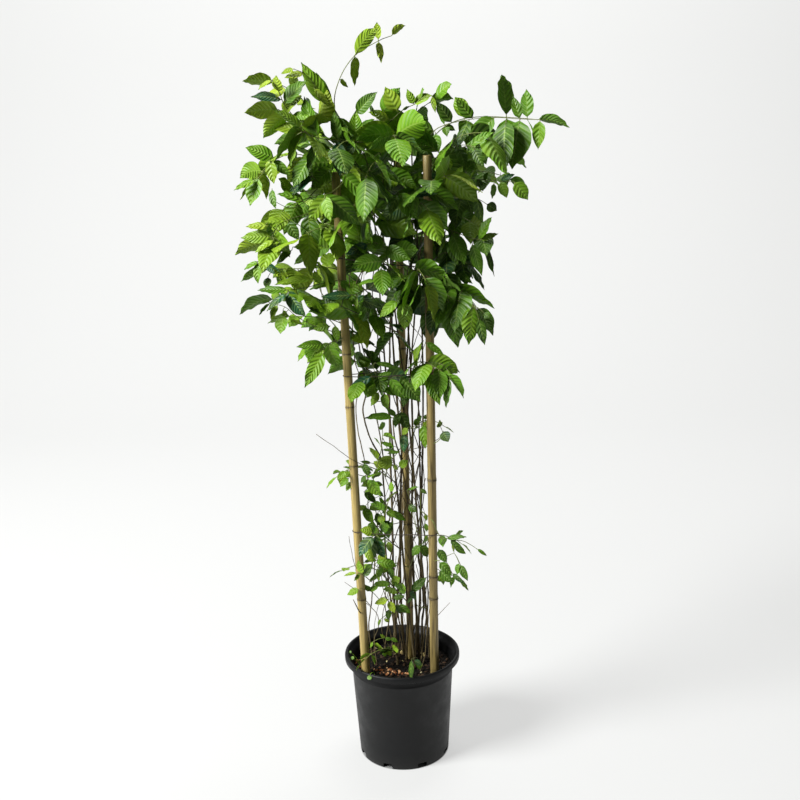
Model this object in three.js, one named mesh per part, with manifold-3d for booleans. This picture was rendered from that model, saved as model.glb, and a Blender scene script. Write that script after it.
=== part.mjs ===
// A potted Rangoon creeper: a climber tied to three bamboo canes in a black nursery pot.
// Millimetres, +Z up. The origin is the middle of the pot's foot, on the surface that it stands on.
import * as THREE from "three";
import { mergeVertices } from "three/addons/utils/BufferGeometryUtils.js";
import Module from "manifold-3d";

const wasm = await Module();
wasm.setup();

// Driving dimensions

const GAP = 0.3; // clearance between two pieces that touch
const FINEST = 0.003; // a joined solid has no triangle narrower than this
const SEED = 20;

const POT = {
  rimRadius: 150,
  underRimRadius: 134,
  footRadius: 117.5,
  height: 280,
  rimHeight: 16,
  wall: 2.6,
  floor: 4,
  sides: 24,
};
const DRAIN = { count: 8, width: 24, height: 11, depth: 22 };
const MIX = { top: 243, edgeDrop: 5, crownRise: 3 };

const CANE_SIDES = 6;
const CANE_RING = { rise: 1.3, length: 7 }; // the raised ring at a bamboo joint
const CANES = [
  {
    name: "cane_left",
    foot: [-90, -47, 18],
    top: [-120, -65, 1517],
    radii: [11.5, 10],
    joints: [455, 812, 962, 1093],
  },
  {
    name: "cane_right",
    foot: [82, -48, 50],
    top: [89, -65, 1549],
    radii: [11.5, 10],
    joints: [452, 512, 770, 1060],
  },
  {
    name: "cane_back",
    foot: [23, 26, 45],
    top: [21, 55, 1544],
    radii: [9.5, 8.5],
    joints: [390, 620, 830, 1080],
  },
];

const TIE = { radius: 1.3, sides: 4, stepsPerCane: 3, knotRadius: 4, slack: 0.9 };
const TIES = [
  { name: "tie_low", heights: [640, 627, 622] },
  { name: "tie_middle", heights: [1039, 1042, 1030] },
  { name: "tie_top", heights: [1322, 1294, 1285] },
];

// Woody stems climb round the back cane, an inner ring one way and an outer ring the other
const STEM = { sides: 4, steps: 13, foot: 160 };
const STEM_RINGS = [
  { count: 3, radius: 3.1, spacing: 20, turn: 3.4, tops: [1540, 1560, 1490] },
  { count: 5, radius: 2.8, spacing: 44, turn: -1.9, tops: [1500, 1420, 1540, 1520, 1460] },
];
// Height, and how far the rings have spread from the cane there, as a share of their spacing
const STEM_SPREAD = [
  [0, 1.15],
  [250, 1.1],
  [650, 0.86],
  [1000, 1.05],
  [1300, 1.3],
  [1560, 1.9],
];

// A leaf is thickest at the midrib and has a keen edge
const BLADE_THICKNESS = 1.2;
const LEAF_FORMS = {
  large: { at: [0.18, 0.46, 0.76], width: [0.76, 1, 0.62] },
  small: { at: [0.3, 0.66], width: [0.95, 0.8] },
};
const LARGE_LEAF = 84; // the length from which a leaf is a large one
const LEAF_CLEARANCE = 0.5;
const LEAF_TRIES = 40;
const LEAF_ROLL = { share: [0.75, 1], stray: 0.35 }; // how far a leaf turns to the light, and past it in radians
const LEAF_FOLD = [-0.1, 0.32]; // radians by which the two halves of a blade are folded up
const LEAF_BOW = [0.03, 0.12]; // rise of the midrib over its chord, as a share of its length
const LEAF_SIZE = { spread: [0.78, 1.1], crowded: 0.35 }; // and how much smaller it stays where it has no room
const LEAF_WIDTH = [0.88, 1.1];
const LEAF_STRAY = 0.25; // how far a leaf's direction strays, as a share of its length
const LEAF_DROOP = [0.5, 1.4]; // share of its shoot's hang
const STRAY_BY_HAND = 45; // how far the tip of a leaf placed by hand may stray to find room

// A pair of leaves grows from a short collar of its shoot. A shoot in the way of others is shaken to a clear
// way, further with each try, and after some tries it starts from the next woody stem.
const SHOOT = { sides: 4, radius: 1.25, collar: 3, clearance: 0.8, tries: 60, triesPerStem: 12 };
const SHAKE = { least: 3, more: 2 };
const PAIR_TURN = 0.8; // radians by which a pair of leaves is turned from level
const UPRIGHT = 0.7; // the rise of a shoot from which each pair stands crosswise to the one before
const SEAT_SIDES = [4, 6, 7, 9]; // the seat of a shoot against its woody stem, the plainest that works
const LEAF_START = 4.5; // how far from its shoot a leaf has to be clear of everything, its own shoot too
const STEEPEST_LEAF = 1.15; // radians between a leaf and the face that it grows square from, at most
const STEEPEST_TWIST = 0.8; // radians by which a leaf's blade is turned against its root, at most
const LEAF_AHEAD = 1.5; // how far in front of that face the whole blade stays
const ROOT_OVERLAP = 1e-6; // cubic millimetres that a leaf may share with its own shoot, from rounding
const LEAF_LEAN = [0.15, 0.9]; // radians by which a leaf leans from square to its shoot, towards the tip
const LEAF_SKIP = 0.05; // share of the leaves that have fallen
// Leaves face up, outwards and to the front, where the light came from while the plant grew
const LIGHT = { up: 0.5, outward: 0.4, front: 0.75 };

const UP = new THREE.Vector3(0, 0, 1);
const PLANT_MIDDLE = [10, 30];

// Leafy shoots. way gives points from the woody stem outwards, and from the height where the shoot leaves it.
// leaf is the length of the first and the last leaves, hang how far they droop, wide their half width as a
// share of their length, space the distance between pairs and bare the share of the shoot without leaves.
// tips gives leaves one by one: the place of the pair, counted back from the end, the tip and the half width.
const CROWN = { leaf: [132, 92], wide: 0.3, hang: 0.5, space: 41, bare: 0.12 };
const LOW = { leaf: [50, 36], wide: 0.3, hang: 0.25, space: 36, bare: 0.2 };
const SHOOTS = [
  { ...CROWN, name: "top_sprig", from: 1470, space: 60, bare: 0.4,
    way: [[-120, -60, 1635], [-110, -60, 1700], [-90, -55, 1755], [-25, -50, 1800], [15, -45, 1812]],
    tips: [[3, -55, -66, 1742, 6], [2, -14, -95, 1817, 16], [2, -72, -18, 1704, 13],
      [1, -16, -62, 1838, 9], [1, 20, -72, 1775, 10], [0, 47, -45, 1830, 10]] },
  { ...CROWN, name: "upper_left_high", from: 1440, leaf: [130, 70],
    way: [[-145, -40, 1600], [-175, -55, 1665], [-210, -70, 1705], [-250, -80, 1712]] },
  { ...CROWN, name: "upper_left_mid", from: 1410, leaf: [120, 86],
    way: [[-140, -110, 1570], [-185, -130, 1610], [-210, -135, 1640], [-232, -140, 1660]] },
  { ...CROWN, name: "left_far", from: 1400, leaf: [108, 80],
    way: [[-170, -30, 1550], [-225, -40, 1560], [-270, -50, 1540], [-305, -60, 1510]] },
  { ...CROWN, name: "left_mid_high", from: 1330, leaf: [120, 82],
    way: [[-150, 10, 1455], [-215, -20, 1450], [-265, -40, 1425], [-290, -50, 1400]] },
  { ...CROWN, name: "left_mid", from: 1290, leaf: [128, 86],
    way: [[-160, -115, 1400], [-205, -135, 1375], [-250, -135, 1365], [-275, -135, 1365]] },
  { ...CROWN, name: "left_low_high", from: 1190, leaf: [116, 76],
    way: [[-130, -20, 1290], [-190, -50, 1295], [-240, -70, 1300], [-280, -80, 1305]] },
  { ...CROWN, name: "left_low", from: 1130, leaf: [128, 86], hang: 0.25,
    way: [[-130, -120, 1225], [-180, -150, 1245], [-235, -155, 1250], [-270, -150, 1240]] },
  { ...CROWN, name: "left_low_back", from: 1070, leaf: [92, 60],
    way: [[-125, 20, 1150], [-165, -10, 1170], [-210, -40, 1180], [-240, -50, 1185]] },
  { ...CROWN, name: "left_lowest", from: 1000, leaf: [100, 76],
    way: [[-120, -10, 1080], [-155, -40, 1120], [-190, -50, 1108]] },
  { ...CROWN, name: "front_left_high", from: 1420, leaf: [134, 104], hang: 0.9,
    way: [[-60, -70, 1560], [-95, -130, 1590], [-120, -165, 1560]] },
  { ...CROWN, name: "front_middle", from: 1380, leaf: [134, 100], hang: 0.9,
    way: [[-15, -80, 1530], [-35, -130, 1540], [-50, -165, 1510]] },
  { ...CROWN, name: "front_left", from: 1310, leaf: [134, 104], hang: 0.9,
    way: [[-55, -50, 1440], [-75, -110, 1450], [-100, -150, 1420]] },
  { ...CROWN, name: "top_left", from: 1480, leaf: [130, 84], hang: 0.1,
    way: [[-70, -20, 1590], [-110, -25, 1630], [-150, -35, 1650]] },
  { ...CROWN, name: "top_middle", from: 1500, leaf: [116, 80], hang: 0.1,
    way: [[-25, -10, 1575], [-25, -20, 1610], [-12, -25, 1640]] },
  { ...CROWN, name: "top_right", from: 1480, leaf: [104, 68], hang: 0.2,
    way: [[25, 20, 1580], [55, 15, 1630], [90, 10, 1660], [120, 5, 1662]] },
  { ...CROWN, name: "right_arch", from: 1440, space: 50, bare: 0.25,
    way: [[95, -20, 1580], [135, -35, 1618], [195, -40, 1630], [265, -40, 1630], [340, -35, 1622]],
    tips: [[0, 415, -45, 1600, 13], [1, 345, -50, 1553, 14], [1, 318, -30, 1688, 16], [2, 262, -30, 1722, 26],
      [2, 272, -70, 1515, 30], [3, 210, -75, 1520, 28], [3, 318, -75, 1545, 26], [4, 155, -40, 1675, 18],
      [4, 150, -90, 1560, 24], [5, 112, -30, 1668, 11], [5, 135, -60, 1588, 9], [6, 40, -60, 1600, 18]] },
  { ...CROWN, name: "right_cluster", from: 1420, leaf: [140, 114], hang: 1.1, wide: 0.3,
    way: [[115, -60, 1550], [160, -95, 1590], [205, -110, 1600], [240, -110, 1592]] },
  { ...CROWN, name: "right_back", from: 1400, leaf: [130, 92],
    way: [[110, 50, 1520], [170, 60, 1560], [215, 60, 1570], [255, 50, 1560]] },
  { ...CROWN, name: "right_mid", from: 1370, leaf: [98, 56], wide: 0.3,
    way: [[125, -20, 1490], [185, -40, 1510], [235, -50, 1505], [275, -60, 1490]] },
  { ...CROWN, name: "right_low", from: 1290, leaf: [116, 80], hang: 0.8,
    way: [[115, -10, 1400], [165, -50, 1410], [200, -65, 1385], [215, -75, 1355]] },
  { ...CROWN, name: "right_lower", from: 1210, leaf: [120, 84], hang: 0.8,
    way: [[105, 0, 1310], [150, -40, 1325], [180, -55, 1300]] },
  { ...CROWN, name: "right_lowest", from: 1130, leaf: [132, 96], hang: 1.0,
    way: [[115, -20, 1230], [145, -80, 1250], [172, -105, 1235], [195, -110, 1205]] },
  { ...CROWN, name: "front_right", from: 1180, leaf: [134, 110], hang: 1.1,
    way: [[45, -60, 1280], [60, -110, 1300], [80, -150, 1270]] },
  { ...CROWN, name: "front_right_high", from: 1320, leaf: [130, 98], hang: 0.8,
    way: [[45, -50, 1430], [60, -110, 1460], [80, -150, 1440]] },
  { ...CROWN, name: "middle_high", from: 1230, leaf: [124, 92],
    way: [[0, -30, 1320], [-5, -80, 1330], [-25, -115, 1300]] },
  { ...CROWN, name: "middle", from: 1110, leaf: [110, 76], hang: 0.4,
    way: [[-20, -20, 1185], [-35, -60, 1200], [-60, -90, 1185]] },
  { ...CROWN, name: "middle_low", from: 970, leaf: [110, 80], hang: 0.3,
    way: [[-25, -20, 1030], [-50, -50, 1050], [-80, -75, 1030]] },
  { ...CROWN, name: "middle_low_right", from: 960, leaf: [106, 76], hang: 0.8,
    way: [[40, -30, 1030], [60, -80, 1075], [95, -110, 1070], [120, -115, 1050]] },
  { ...CROWN, name: "front_top", from: 1450, leaf: [130, 96], hang: 0.5,
    way: [[20, -60, 1570], [10, -110, 1600], [20, -140, 1590]] },
  { ...CROWN, name: "right_front_high", from: 1390, leaf: [134, 104], hang: 0.8,
    way: [[90, -100, 1500], [120, -140, 1520], [150, -150, 1500]] },
  { ...CROWN, name: "back_left", from: 1400,
    way: [[-80, 120, 1500], [-130, 160, 1560], [-190, 170, 1570]] },
  { ...CROWN, name: "back_high", from: 1430,
    way: [[20, 170, 1540], [15, 210, 1600], [10, 250, 1600]] },
  { ...CROWN, name: "back_right", from: 1380,
    way: [[105, 140, 1480], [150, 170, 1520], [200, 185, 1515]] },
  { ...CROWN, name: "back_low", from: 1240,
    way: [[-60, 120, 1330], [-110, 160, 1370], [-160, 170, 1340]] },
  { ...CROWN, name: "back_middle", from: 1220,
    way: [[40, 150, 1310], [60, 190, 1350], [85, 210, 1320]] },
  { ...LOW, name: "low_heart", from: 840, leaf: [40, 34],
    way: [[50, -10, 900], [85, -20, 915], [120, -30, 895]] },
  { ...LOW, name: "low_left_high", from: 740,
    way: [[-50, 0, 780], [-105, -15, 800], [-150, -40, 775]] },
  { ...LOW, name: "low_climber_left", from: 560, bare: 0.12,
    way: [[-40, -20, 610], [-75, -30, 690], [-60, -45, 770], [-35, -30, 850], [-30, -45, 900]] },
  { ...LOW, name: "low_climber_front", from: 420, bare: 0.12,
    way: [[-5, -35, 460], [-45, -50, 520], [-65, -45, 600], [-35, -55, 680], [-15, -60, 740]] },
  { ...LOW, name: "low_left", from: 450,
    way: [[-50, 0, 500], [-100, -10, 530], [-145, -40, 525]] },
  { ...LOW, name: "low_right_high", from: 530, leaf: [48, 38], hang: 0.6,
    way: [[75, 10, 590], [120, 0, 600], [160, -20, 585]] },
  { ...LOW, name: "low_right", from: 440, leaf: [46, 36], hang: 0.6,
    way: [[75, 0, 490], [115, -10, 505], [150, -30, 490]] },
  { ...LOW, name: "low_foot", from: 265, leaf: [34, 40],
    way: [[-20, -40, 300], [-62, -72, 322], [-95, -96, 310]] },
];

// Small helpers

const point = (list) => new THREE.Vector3(...list);
const degrees = THREE.MathUtils.degToRad;

// The same draws each time for the same seed, from 0 to 1
function seededRandom(seed) {
  let state = seed >>> 0;
  return () => {
    state = (state + 0x6d2b79f5) >>> 0;
    let mixed = Math.imul(state ^ (state >>> 15), state | 1);
    mixed ^= mixed + Math.imul(mixed ^ (mixed >>> 7), mixed | 61);
    return ((mixed ^ (mixed >>> 14)) >>> 0) / 4294967296;
  };
}

function between(random, low, high) {
  return low + (high - low) * random();
}

// The value at a height, from a list of [height, value] in rising order
function valueAt(table, height) {
  const above = table.findIndex(([level]) => level >= height);
  if (above === 0) return table[0][1];
  if (above < 0) return table[table.length - 1][1];
  const [lowLevel, low] = table[above - 1];
  const [highLevel, high] = table[above];
  return low + ((high - low) * (height - lowLevel)) / (highLevel - lowLevel);
}

function solidOf(geometry) {
  const bare = new THREE.BufferGeometry();
  bare.setAttribute("position", geometry.getAttribute("position"));
  if (geometry.index) bare.setIndex(geometry.index);
  const merged = mergeVertices(bare, 1e-4);
  return new wasm.Manifold(
    new wasm.Mesh({
      numProp: 3,
      vertProperties: merged.attributes.position.array,
      triVerts: new Uint32Array(merged.index.array),
    }),
  );
}

function geometryOf(solid) {
  const mesh = solid.getMesh();
  const geometry = new THREE.BufferGeometry();
  const positions = new Float32Array(mesh.vertProperties);
  geometry.setAttribute("position", new THREE.BufferAttribute(positions, mesh.numProp));
  geometry.setIndex(new THREE.BufferAttribute(new Uint32Array(mesh.triVerts), 1));
  return geometry;
}

function joined(solids) {
  return solids.reduce((whole, piece) => whole.add(piece));
}

function largestBody(solid) {
  const bodies = solid.decompose();
  return bodies.reduce((best, body) => (body.volume() > best.volume() ? body : best));
}

// Whether no triangle is so narrow that rounding its corners could close it up
function isSound(solid) {
  const { vertProperties, triVerts, numProp } = solid.getMesh();
  const triangle = new THREE.Triangle();
  const corner = (target, index) => target.fromArray(vertProperties, index * numProp);
  for (let i = 0; i < triVerts.length; i += 3) {
    corner(triangle.a, triVerts[i]);
    corner(triangle.b, triVerts[i + 1]);
    corner(triangle.c, triVerts[i + 2]);
    const longest = Math.max(
      triangle.a.distanceTo(triangle.b),
      triangle.b.distanceTo(triangle.c),
      triangle.c.distanceTo(triangle.a),
    );
    if (2 * triangle.getArea() < FINEST * longest) return false;
  }
  return true;
}

function namedMesh(name, solid, colour, roughness) {
  const geometry = geometryOf(solid);
  geometry.computeVertexNormals();
  const material = new THREE.MeshStandardMaterial({ color: colour, roughness, metalness: 0 });
  const mesh = new THREE.Mesh(geometry, material);
  mesh.name = name;
  return mesh;
}

// A closed turned solid that stands along +Z, from [radius, height] pairs
function turned(profile, sides) {
  const geometry = new THREE.LatheGeometry(profile.map(([r, z]) => new THREE.Vector2(r, z)), sides);
  return solidOf(geometry.rotateX(Math.PI / 2));
}

// A way through given points, with one ring of the swept tube on each of them
class Route extends THREE.Curve {
  constructor(points) {
    super();
    this.points = points;
  }

  getPoint(share, target = new THREE.Vector3()) {
    const place = share * (this.points.length - 1);
    const index = Math.min(Math.floor(place), this.points.length - 2);
    return target.lerpVectors(this.points[index], this.points[index + 1], place - index);
  }

  getPointAt(share, target) {
    return this.getPoint(share, target);
  }

  getTangentAt(share, target = new THREE.Vector3()) {
    const half = 0.5 / (this.points.length - 1);
    const before = this.getPoint(Math.max(0, share - half));
    const after = this.getPoint(Math.min(1, share + half));
    return target.subVectors(after, before).normalize();
  }
}

function tube(points, radius, sides) {
  const corners = [];
  for (let i = 0; i < sides; i++) {
    const angle = (2 * Math.PI * i) / sides;
    corners.push(new THREE.Vector2(radius * Math.cos(angle), radius * Math.sin(angle)));
  }
  const options = { steps: points.length - 1, extrudePath: new Route(points), curveSegments: 1 };
  return solidOf(new THREE.ExtrudeGeometry(new THREE.Shape(corners), options));
}

// What has been placed so far, which every later piece has to clear
const placed = [];

function place(solid, owner) {
  const box = solid.boundingBox();
  placed.push({ solid, owner, min: box.min, max: box.max });
}

function isClear(solid, ignoredOwner) {
  const { min, max } = solid.boundingBox();
  return !placed.some((other) => {
    if (other.owner === ignoredOwner) return false;
    for (let axis = 0; axis < 3; axis++)
      if (other.min[axis] > max[axis] || other.max[axis] < min[axis]) return false;
    const common = other.solid.intersect(solid);
    const meets = !common.isEmpty();
    common.delete();
    return meets;
  });
}

// Nursery pot: a turned shell with a rolled rim, and drainage notches cut through its foot

function makePot() {
  const { rimRadius, underRimRadius, footRadius, height, rimHeight, wall, floor, sides } = POT;
  const underRim = height - rimHeight;
  const shell = turned(
    [
      [0, 0],
      [footRadius - 2, 0],
      [footRadius, 2],
      [underRimRadius, underRim - 8],
      [underRimRadius + 5, underRim],
      [rimRadius - 0.5, underRim],
      [rimRadius, height - 4],
      [rimRadius - 3, height],
      [rimRadius - 8, height],
      [underRimRadius + 2, underRim + 3],
      [underRimRadius - wall, underRim - 8],
      [footRadius - wall, floor],
      [0, floor],
    ],
    sides,
  );
  const notches = [];
  for (let i = 0; i < DRAIN.count; i++) {
    const notch = new THREE.BoxGeometry(DRAIN.depth, DRAIN.width, DRAIN.height);
    notch.translate(footRadius, 0, DRAIN.height / 2 - 1);
    notch.rotateZ((2 * Math.PI * (i + 0.5)) / DRAIN.count);
    notches.push(solidOf(notch));
  }
  return shell.subtract(joined(notches));
}

// Bamboo cane: a tapered rod with a raised ring at each joint

function caneSolid(cane, swell = 0) {
  const foot = point(cane.foot);
  const along = point(cane.top).sub(foot);
  const length = along.length();
  const [footRadius, topRadius] = cane.radii;
  const radiusAt = (distance) => footRadius + ((topRadius - footRadius) * distance) / length + swell;
  const profile = [
    [0, -swell],
    [radiusAt(0), -swell],
  ];
  for (const height of cane.joints) {
    const distance = ((height - foot.z) / along.z) * length;
    profile.push([radiusAt(distance), distance - CANE_RING.length / 2]);
    profile.push([radiusAt(distance) + CANE_RING.rise, distance]);
    profile.push([radiusAt(distance), distance + CANE_RING.length / 2]);
  }
  profile.push([radiusAt(length), length + swell]);
  profile.push([0, length + swell]);
  const geometry = new THREE.LatheGeometry(profile.map(([r, z]) => new THREE.Vector2(r, z)), CANE_SIDES);
  const turn = new THREE.Quaternion().setFromUnitVectors(new THREE.Vector3(0, 1, 0), along.normalize());
  geometry.applyQuaternion(turn);
  geometry.translate(foot.x, foot.y, foot.z);
  return solidOf(geometry);
}

function caneMiddle(cane, height) {
  const foot = point(cane.foot);
  const top = point(cane.top);
  return foot.lerp(top, (height - foot.z) / (top.z - foot.z));
}

function caneRadius(cane, height) {
  const share = (height - cane.foot[2]) / (cane.top[2] - cane.foot[2]);
  return THREE.MathUtils.lerp(cane.radii[0], cane.radii[1], share);
}

// Twine tie: one loop round the outsides of the three canes, closed by a knot at the front

function makeTie(tie) {
  const middles = CANES.map((cane, i) => caneMiddle(cane, tie.heights[i]));
  const [left, right, back] = middles;
  const order = [right, back, left];
  const centre = left.clone().add(right).add(back).divideScalar(3);
  const points = [];
  order.forEach((middle, i) => {
    const cane = CANES[middles.indexOf(middle)];
    const before = order[(i + 2) % 3];
    const after = order[(i + 1) % 3];
    const reach = caneRadius(cane, middle.z) + GAP + TIE.radius + TIE.slack;
    // The loop leaves each straight run square to it, on the side away from the middle of the three
    const start = outwardAngle(before, middle, centre);
    let end = outwardAngle(middle, after, centre);
    while (end < start) end += 2 * Math.PI;
    for (let step = 0; step <= TIE.stepsPerCane; step++) {
      const angle = start + ((end - start) * step) / TIE.stepsPerCane;
      points.push(new THREE.Vector3(Math.cos(angle), Math.sin(angle), 0).multiplyScalar(reach).add(middle));
    }
  });
  const knot = points[points.length - 1].clone().lerp(points[0], 0.8);
  points.unshift(knot.clone());
  points.push(knot.clone());
  const lump = new THREE.IcosahedronGeometry(TIE.knotRadius, 0).translate(knot.x, knot.y, knot.z);
  return tube(points, TIE.radius, TIE.sides).add(solidOf(lump));
}

// The direction in plan, as an angle, that is square to a run and points away from the centre
function outwardAngle(from, to, centre) {
  const run = to.clone().sub(from);
  const square = new THREE.Vector3(run.y, -run.x, 0);
  if (square.dot(from.clone().sub(centre)) < 0) square.negate();
  return Math.atan2(square.y, square.x);
}

// Woody stems, turning round the back cane and spreading out above the top tie

function stemPoints(stem) {
  const points = [];
  for (let step = 0; step <= STEM.steps; step++) {
    const height = THREE.MathUtils.lerp(STEM.foot, stem.top, step / STEM.steps);
    const angle = stem.phase + (stem.turn * (height - MIX.top)) / 1000;
    const reach = stem.spacing * valueAt(STEM_SPREAD, height);
    const middle = caneMiddle(CANES[2], height);
    points.push(
      new THREE.Vector3(middle.x + reach * Math.cos(angle), middle.y + reach * Math.sin(angle), height),
    );
  }
  return points;
}

// A stem meets no cane, tie or other stem: it is turned or moved in and out until it has a clear way
function makeStems() {
  const random = seededRandom(SEED);
  const stems = [];
  for (const ring of STEM_RINGS) {
    for (let i = 0; i < ring.count; i++) {
      const wish = (2 * Math.PI * i) / ring.count;
      let stem;
      let isFree = false;
      for (let attempt = 0; !isFree; attempt++) {
        if (attempt > SHOOT.tries) throw new Error("no clear way for a woody stem");
        const ease = attempt / SHOOT.tries;
        stem = {
          name: "woody_stem_" + String(stems.length + 1).padStart(2, "0"),
          radius: ring.radius,
          turn: ring.turn * between(random, 1 - ease, 1 + ease / 2),
          top: ring.tops[i],
          phase: wish + between(random, -0.15 - ease, 0.15 + ease),
          spacing: ring.spacing * between(random, 0.95, 1.1 + ease / 2),
        };
        stem.points = stemPoints(stem);
        isFree = isClear(tube(stem.points, stem.radius + SHOOT.clearance, STEM.sides));
      }
      stem.solid = tube(stem.points, stem.radius, STEM.sides);
      place(stem.solid, stem.name);
      stems.push(stem);
    }
  }
  return stems;
}

function swollenStem(stem) {
  return tube(stem.points, stem.radius + GAP, STEM.sides);
}

// One leaf: a midrib that bends as a parabola, with a thin kite-shaped section across it at each place.
// Each section runs from the left edge over the midrib's top to the right edge and under it.

function leafMidrib({ base, tip, bow }) {
  const bend = base.clone().lerp(tip, 0.5).addScaledVector(UP, 2 * bow);
  return new THREE.QuadraticBezierCurve3(base, bend, tip);
}

function leafSection(leaf, share, half, thickness) {
  const midrib = leafMidrib(leaf);
  const middle = midrib.getPoint(share);
  const ahead = midrib.getTangent(share);
  const side = leaf.across.clone().applyAxisAngle(ahead, leaf.roll);
  const normal = side.clone().cross(ahead).normalize();
  const lift = half * Math.sin(leaf.fold);
  const reach = half * Math.cos(leaf.fold);
  return [
    middle.clone().addScaledVector(side, -reach).addScaledVector(normal, lift),
    middle.clone().addScaledVector(normal, thickness / 2),
    middle.clone().addScaledVector(side, reach).addScaledVector(normal, lift),
    middle.clone().addScaledVector(normal, -thickness / 2),
  ];
}

function leafSections(leaf, swell = 0) {
  const form = LEAF_FORMS[leaf.form];
  return form.at.map((share, i) =>
    leafSection(leaf, share, form.width[i] * leaf.halfWidth + swell, BLADE_THICKNESS + 2 * swell),
  );
}

// A surface that grows ring by ring, each ring with four corners that run the same way round
class Surface {
  constructor() {
    this.positions = [];
    this.faces = [];
  }

  add(...corners) {
    const first = this.positions.length / 3;
    for (const corner of corners) this.positions.push(corner.x, corner.y, corner.z);
    return corners.map((_, i) => first + i);
  }

  quad(a, b, c, d, isTurned) {
    if (isTurned) this.faces.push(a, b, d, b, c, d);
    else this.faces.push(a, b, c, a, c, d);
  }

  // The diagonals on the upper and the lower face of a leaf run alike, from the midrib out to the edge
  band(from, to, openSides = []) {
    for (let k = 0; k < 4; k++) {
      if (openSides.includes(k)) continue;
      const next = (k + 1) % 4;
      this.quad(from[k], from[next], to[next], to[k], k % 2 === 0);
    }
  }

  leaf(root, sections, tip) {
    let ring = root;
    for (const section of sections) {
      const corners = this.add(...section);
      this.band(ring, corners);
      ring = corners;
    }
    const [end] = this.add(tip);
    for (let k = 0; k < 4; k++) this.faces.push(ring[k], ring[(k + 1) % 4], end);
  }

  startCap([a, b, c, d]) {
    this.faces.push(a, c, b, a, d, c);
  }

  endCap([a, b, c, d]) {
    this.faces.push(a, b, c, a, c, d);
  }

  solid() {
    const geometry = new THREE.BufferGeometry();
    geometry.setAttribute("position", new THREE.BufferAttribute(new Float32Array(this.positions), 3));
    geometry.setIndex(this.faces);
    return solidOf(geometry);
  }
}

// The leaf alone, closed near its root and swollen all round, to test whether it has room
function leafAlone(leaf, swell) {
  const form = LEAF_FORMS[leaf.form];
  const start = LEAF_START / leaf.tip.distanceTo(leaf.base);
  const share = start / form.at[0];
  const half = THREE.MathUtils.lerp(SHOOT.collar / 2, form.width[0] * leaf.halfWidth, share) + swell;
  const thickness = THREE.MathUtils.lerp(SHOOT.collar, BLADE_THICKNESS, share) + 2 * swell;
  const surface = new Surface();
  const root = surface.add(...leafSection(leaf, start, half, thickness));
  surface.startCap(root);
  const beyond = leaf.tip.clone().sub(leaf.base).setLength(swell).add(leaf.tip);
  surface.leaf(root, leafSections(leaf, swell), beyond);
  return surface.solid();
}

// How many places to turn the corners of a root so that they meet the section with the least twist
function leastTwist(corners, section) {
  const twists = [0, 1, 2, 3].map((places) => twistOf(corners, section, places));
  return twists.indexOf(Math.min(...twists));
}

// The angle between the section and the diagonal of the root that leads into it
function twistOf(corners, section, places) {
  const [from, , to] = turnedBy(corners, places);
  return to.clone().sub(from).angleTo(section[2].clone().sub(section[0]));
}

function turnedBy(list, places) {
  return list.map((_, k) => list[(k + places) % list.length]);
}

// The leaf as it grows from its root, closed there, to test whether it crosses anything
function leafWithRoot(leaf, corners, swell = 0) {
  const sections = leafSections(leaf, swell);
  const surface = new Surface();
  const root = surface.add(...turnedBy(corners, leastTwist(corners, sections[0])));
  surface.startCap(root);
  surface.leaf(root, sections, leaf.tip);
  return surface.solid();
}

function outwardFrom(place) {
  return new THREE.Vector3(place.x - PLANT_MIDDLE[0], place.y - PLANT_MIDDLE[1], 0).normalize();
}

// The turn about its midrib that makes a leaf face the light
function rollToLight(base, tip, across) {
  const ahead = tip.clone().sub(base).normalize();
  const light = UP.clone().multiplyScalar(LIGHT.up).addScaledVector(outwardFrom(base), LIGHT.outward);
  light.y -= LIGHT.front;
  const face = across.clone().cross(ahead);
  return Math.atan2(-light.dot(across), light.dot(face));
}

// Everything that shapes one leaf; ease rises from 0 to 1 as more tries fail, and lets it stray further
function leafFor(base, tip, halfWidth, shoot, random) {
  const chord = tip.clone().sub(base);
  const across = chord.clone().cross(UP);
  if (across.length() < 0.05 * chord.length()) across.copy(UP).cross(outwardFrom(base));
  across.normalize();
  return {
    base,
    tip,
    across,
    halfWidth,
    roll:
      rollToLight(base, tip, across) * between(random, ...LEAF_ROLL.share) +
      between(random, -LEAF_ROLL.stray, LEAF_ROLL.stray),
    fold: between(random, ...LEAF_FOLD),
    form: chord.length() > LARGE_LEAF ? "large" : "small",
    bow: chord.length() * between(random, ...LEAF_BOW),
  };
}

function leafByRule(base, ahead, axis, length, shoot, random, ease) {
  const lean = between(random, ...LEAF_LEAN);
  const direction = axis.clone().multiplyScalar(Math.cos(lean)).addScaledVector(ahead, Math.sin(lean));
  const shake = LEAF_STRAY + ease;
  direction.x += between(random, -shake, shake);
  direction.y += between(random, -shake, shake);
  direction.z += between(random, -shake, shake) - shoot.hang * between(random, ...LEAF_DROOP);
  const size = length * between(random, ...LEAF_SIZE.spread) * (1 - LEAF_SIZE.crowded * ease);
  const tip = base.clone().addScaledVector(direction.normalize(), size);
  return leafFor(base, tip, size * shoot.wide * between(random, ...LEAF_WIDTH), shoot, random);
}

function leafByHand(base, wanted, shoot, random, ease) {
  const [x, y, z, halfWidth] = wanted;
  const shake = STRAY_BY_HAND * ease;
  const tip = new THREE.Vector3(
    x + between(random, -shake, shake),
    y + between(random, -shake, shake),
    z + between(random, -shake, shake),
  );
  return leafFor(base, tip, halfWidth, shoot, random);
}

// Growing a shoot: first its tube finds a clear way, and later its leaves find room one by one

function stemAt(stem, height) {
  const share = (height - STEM.foot) / (stem.top - STEM.foot);
  return new Route(stem.points).getPoint(share);
}

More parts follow.
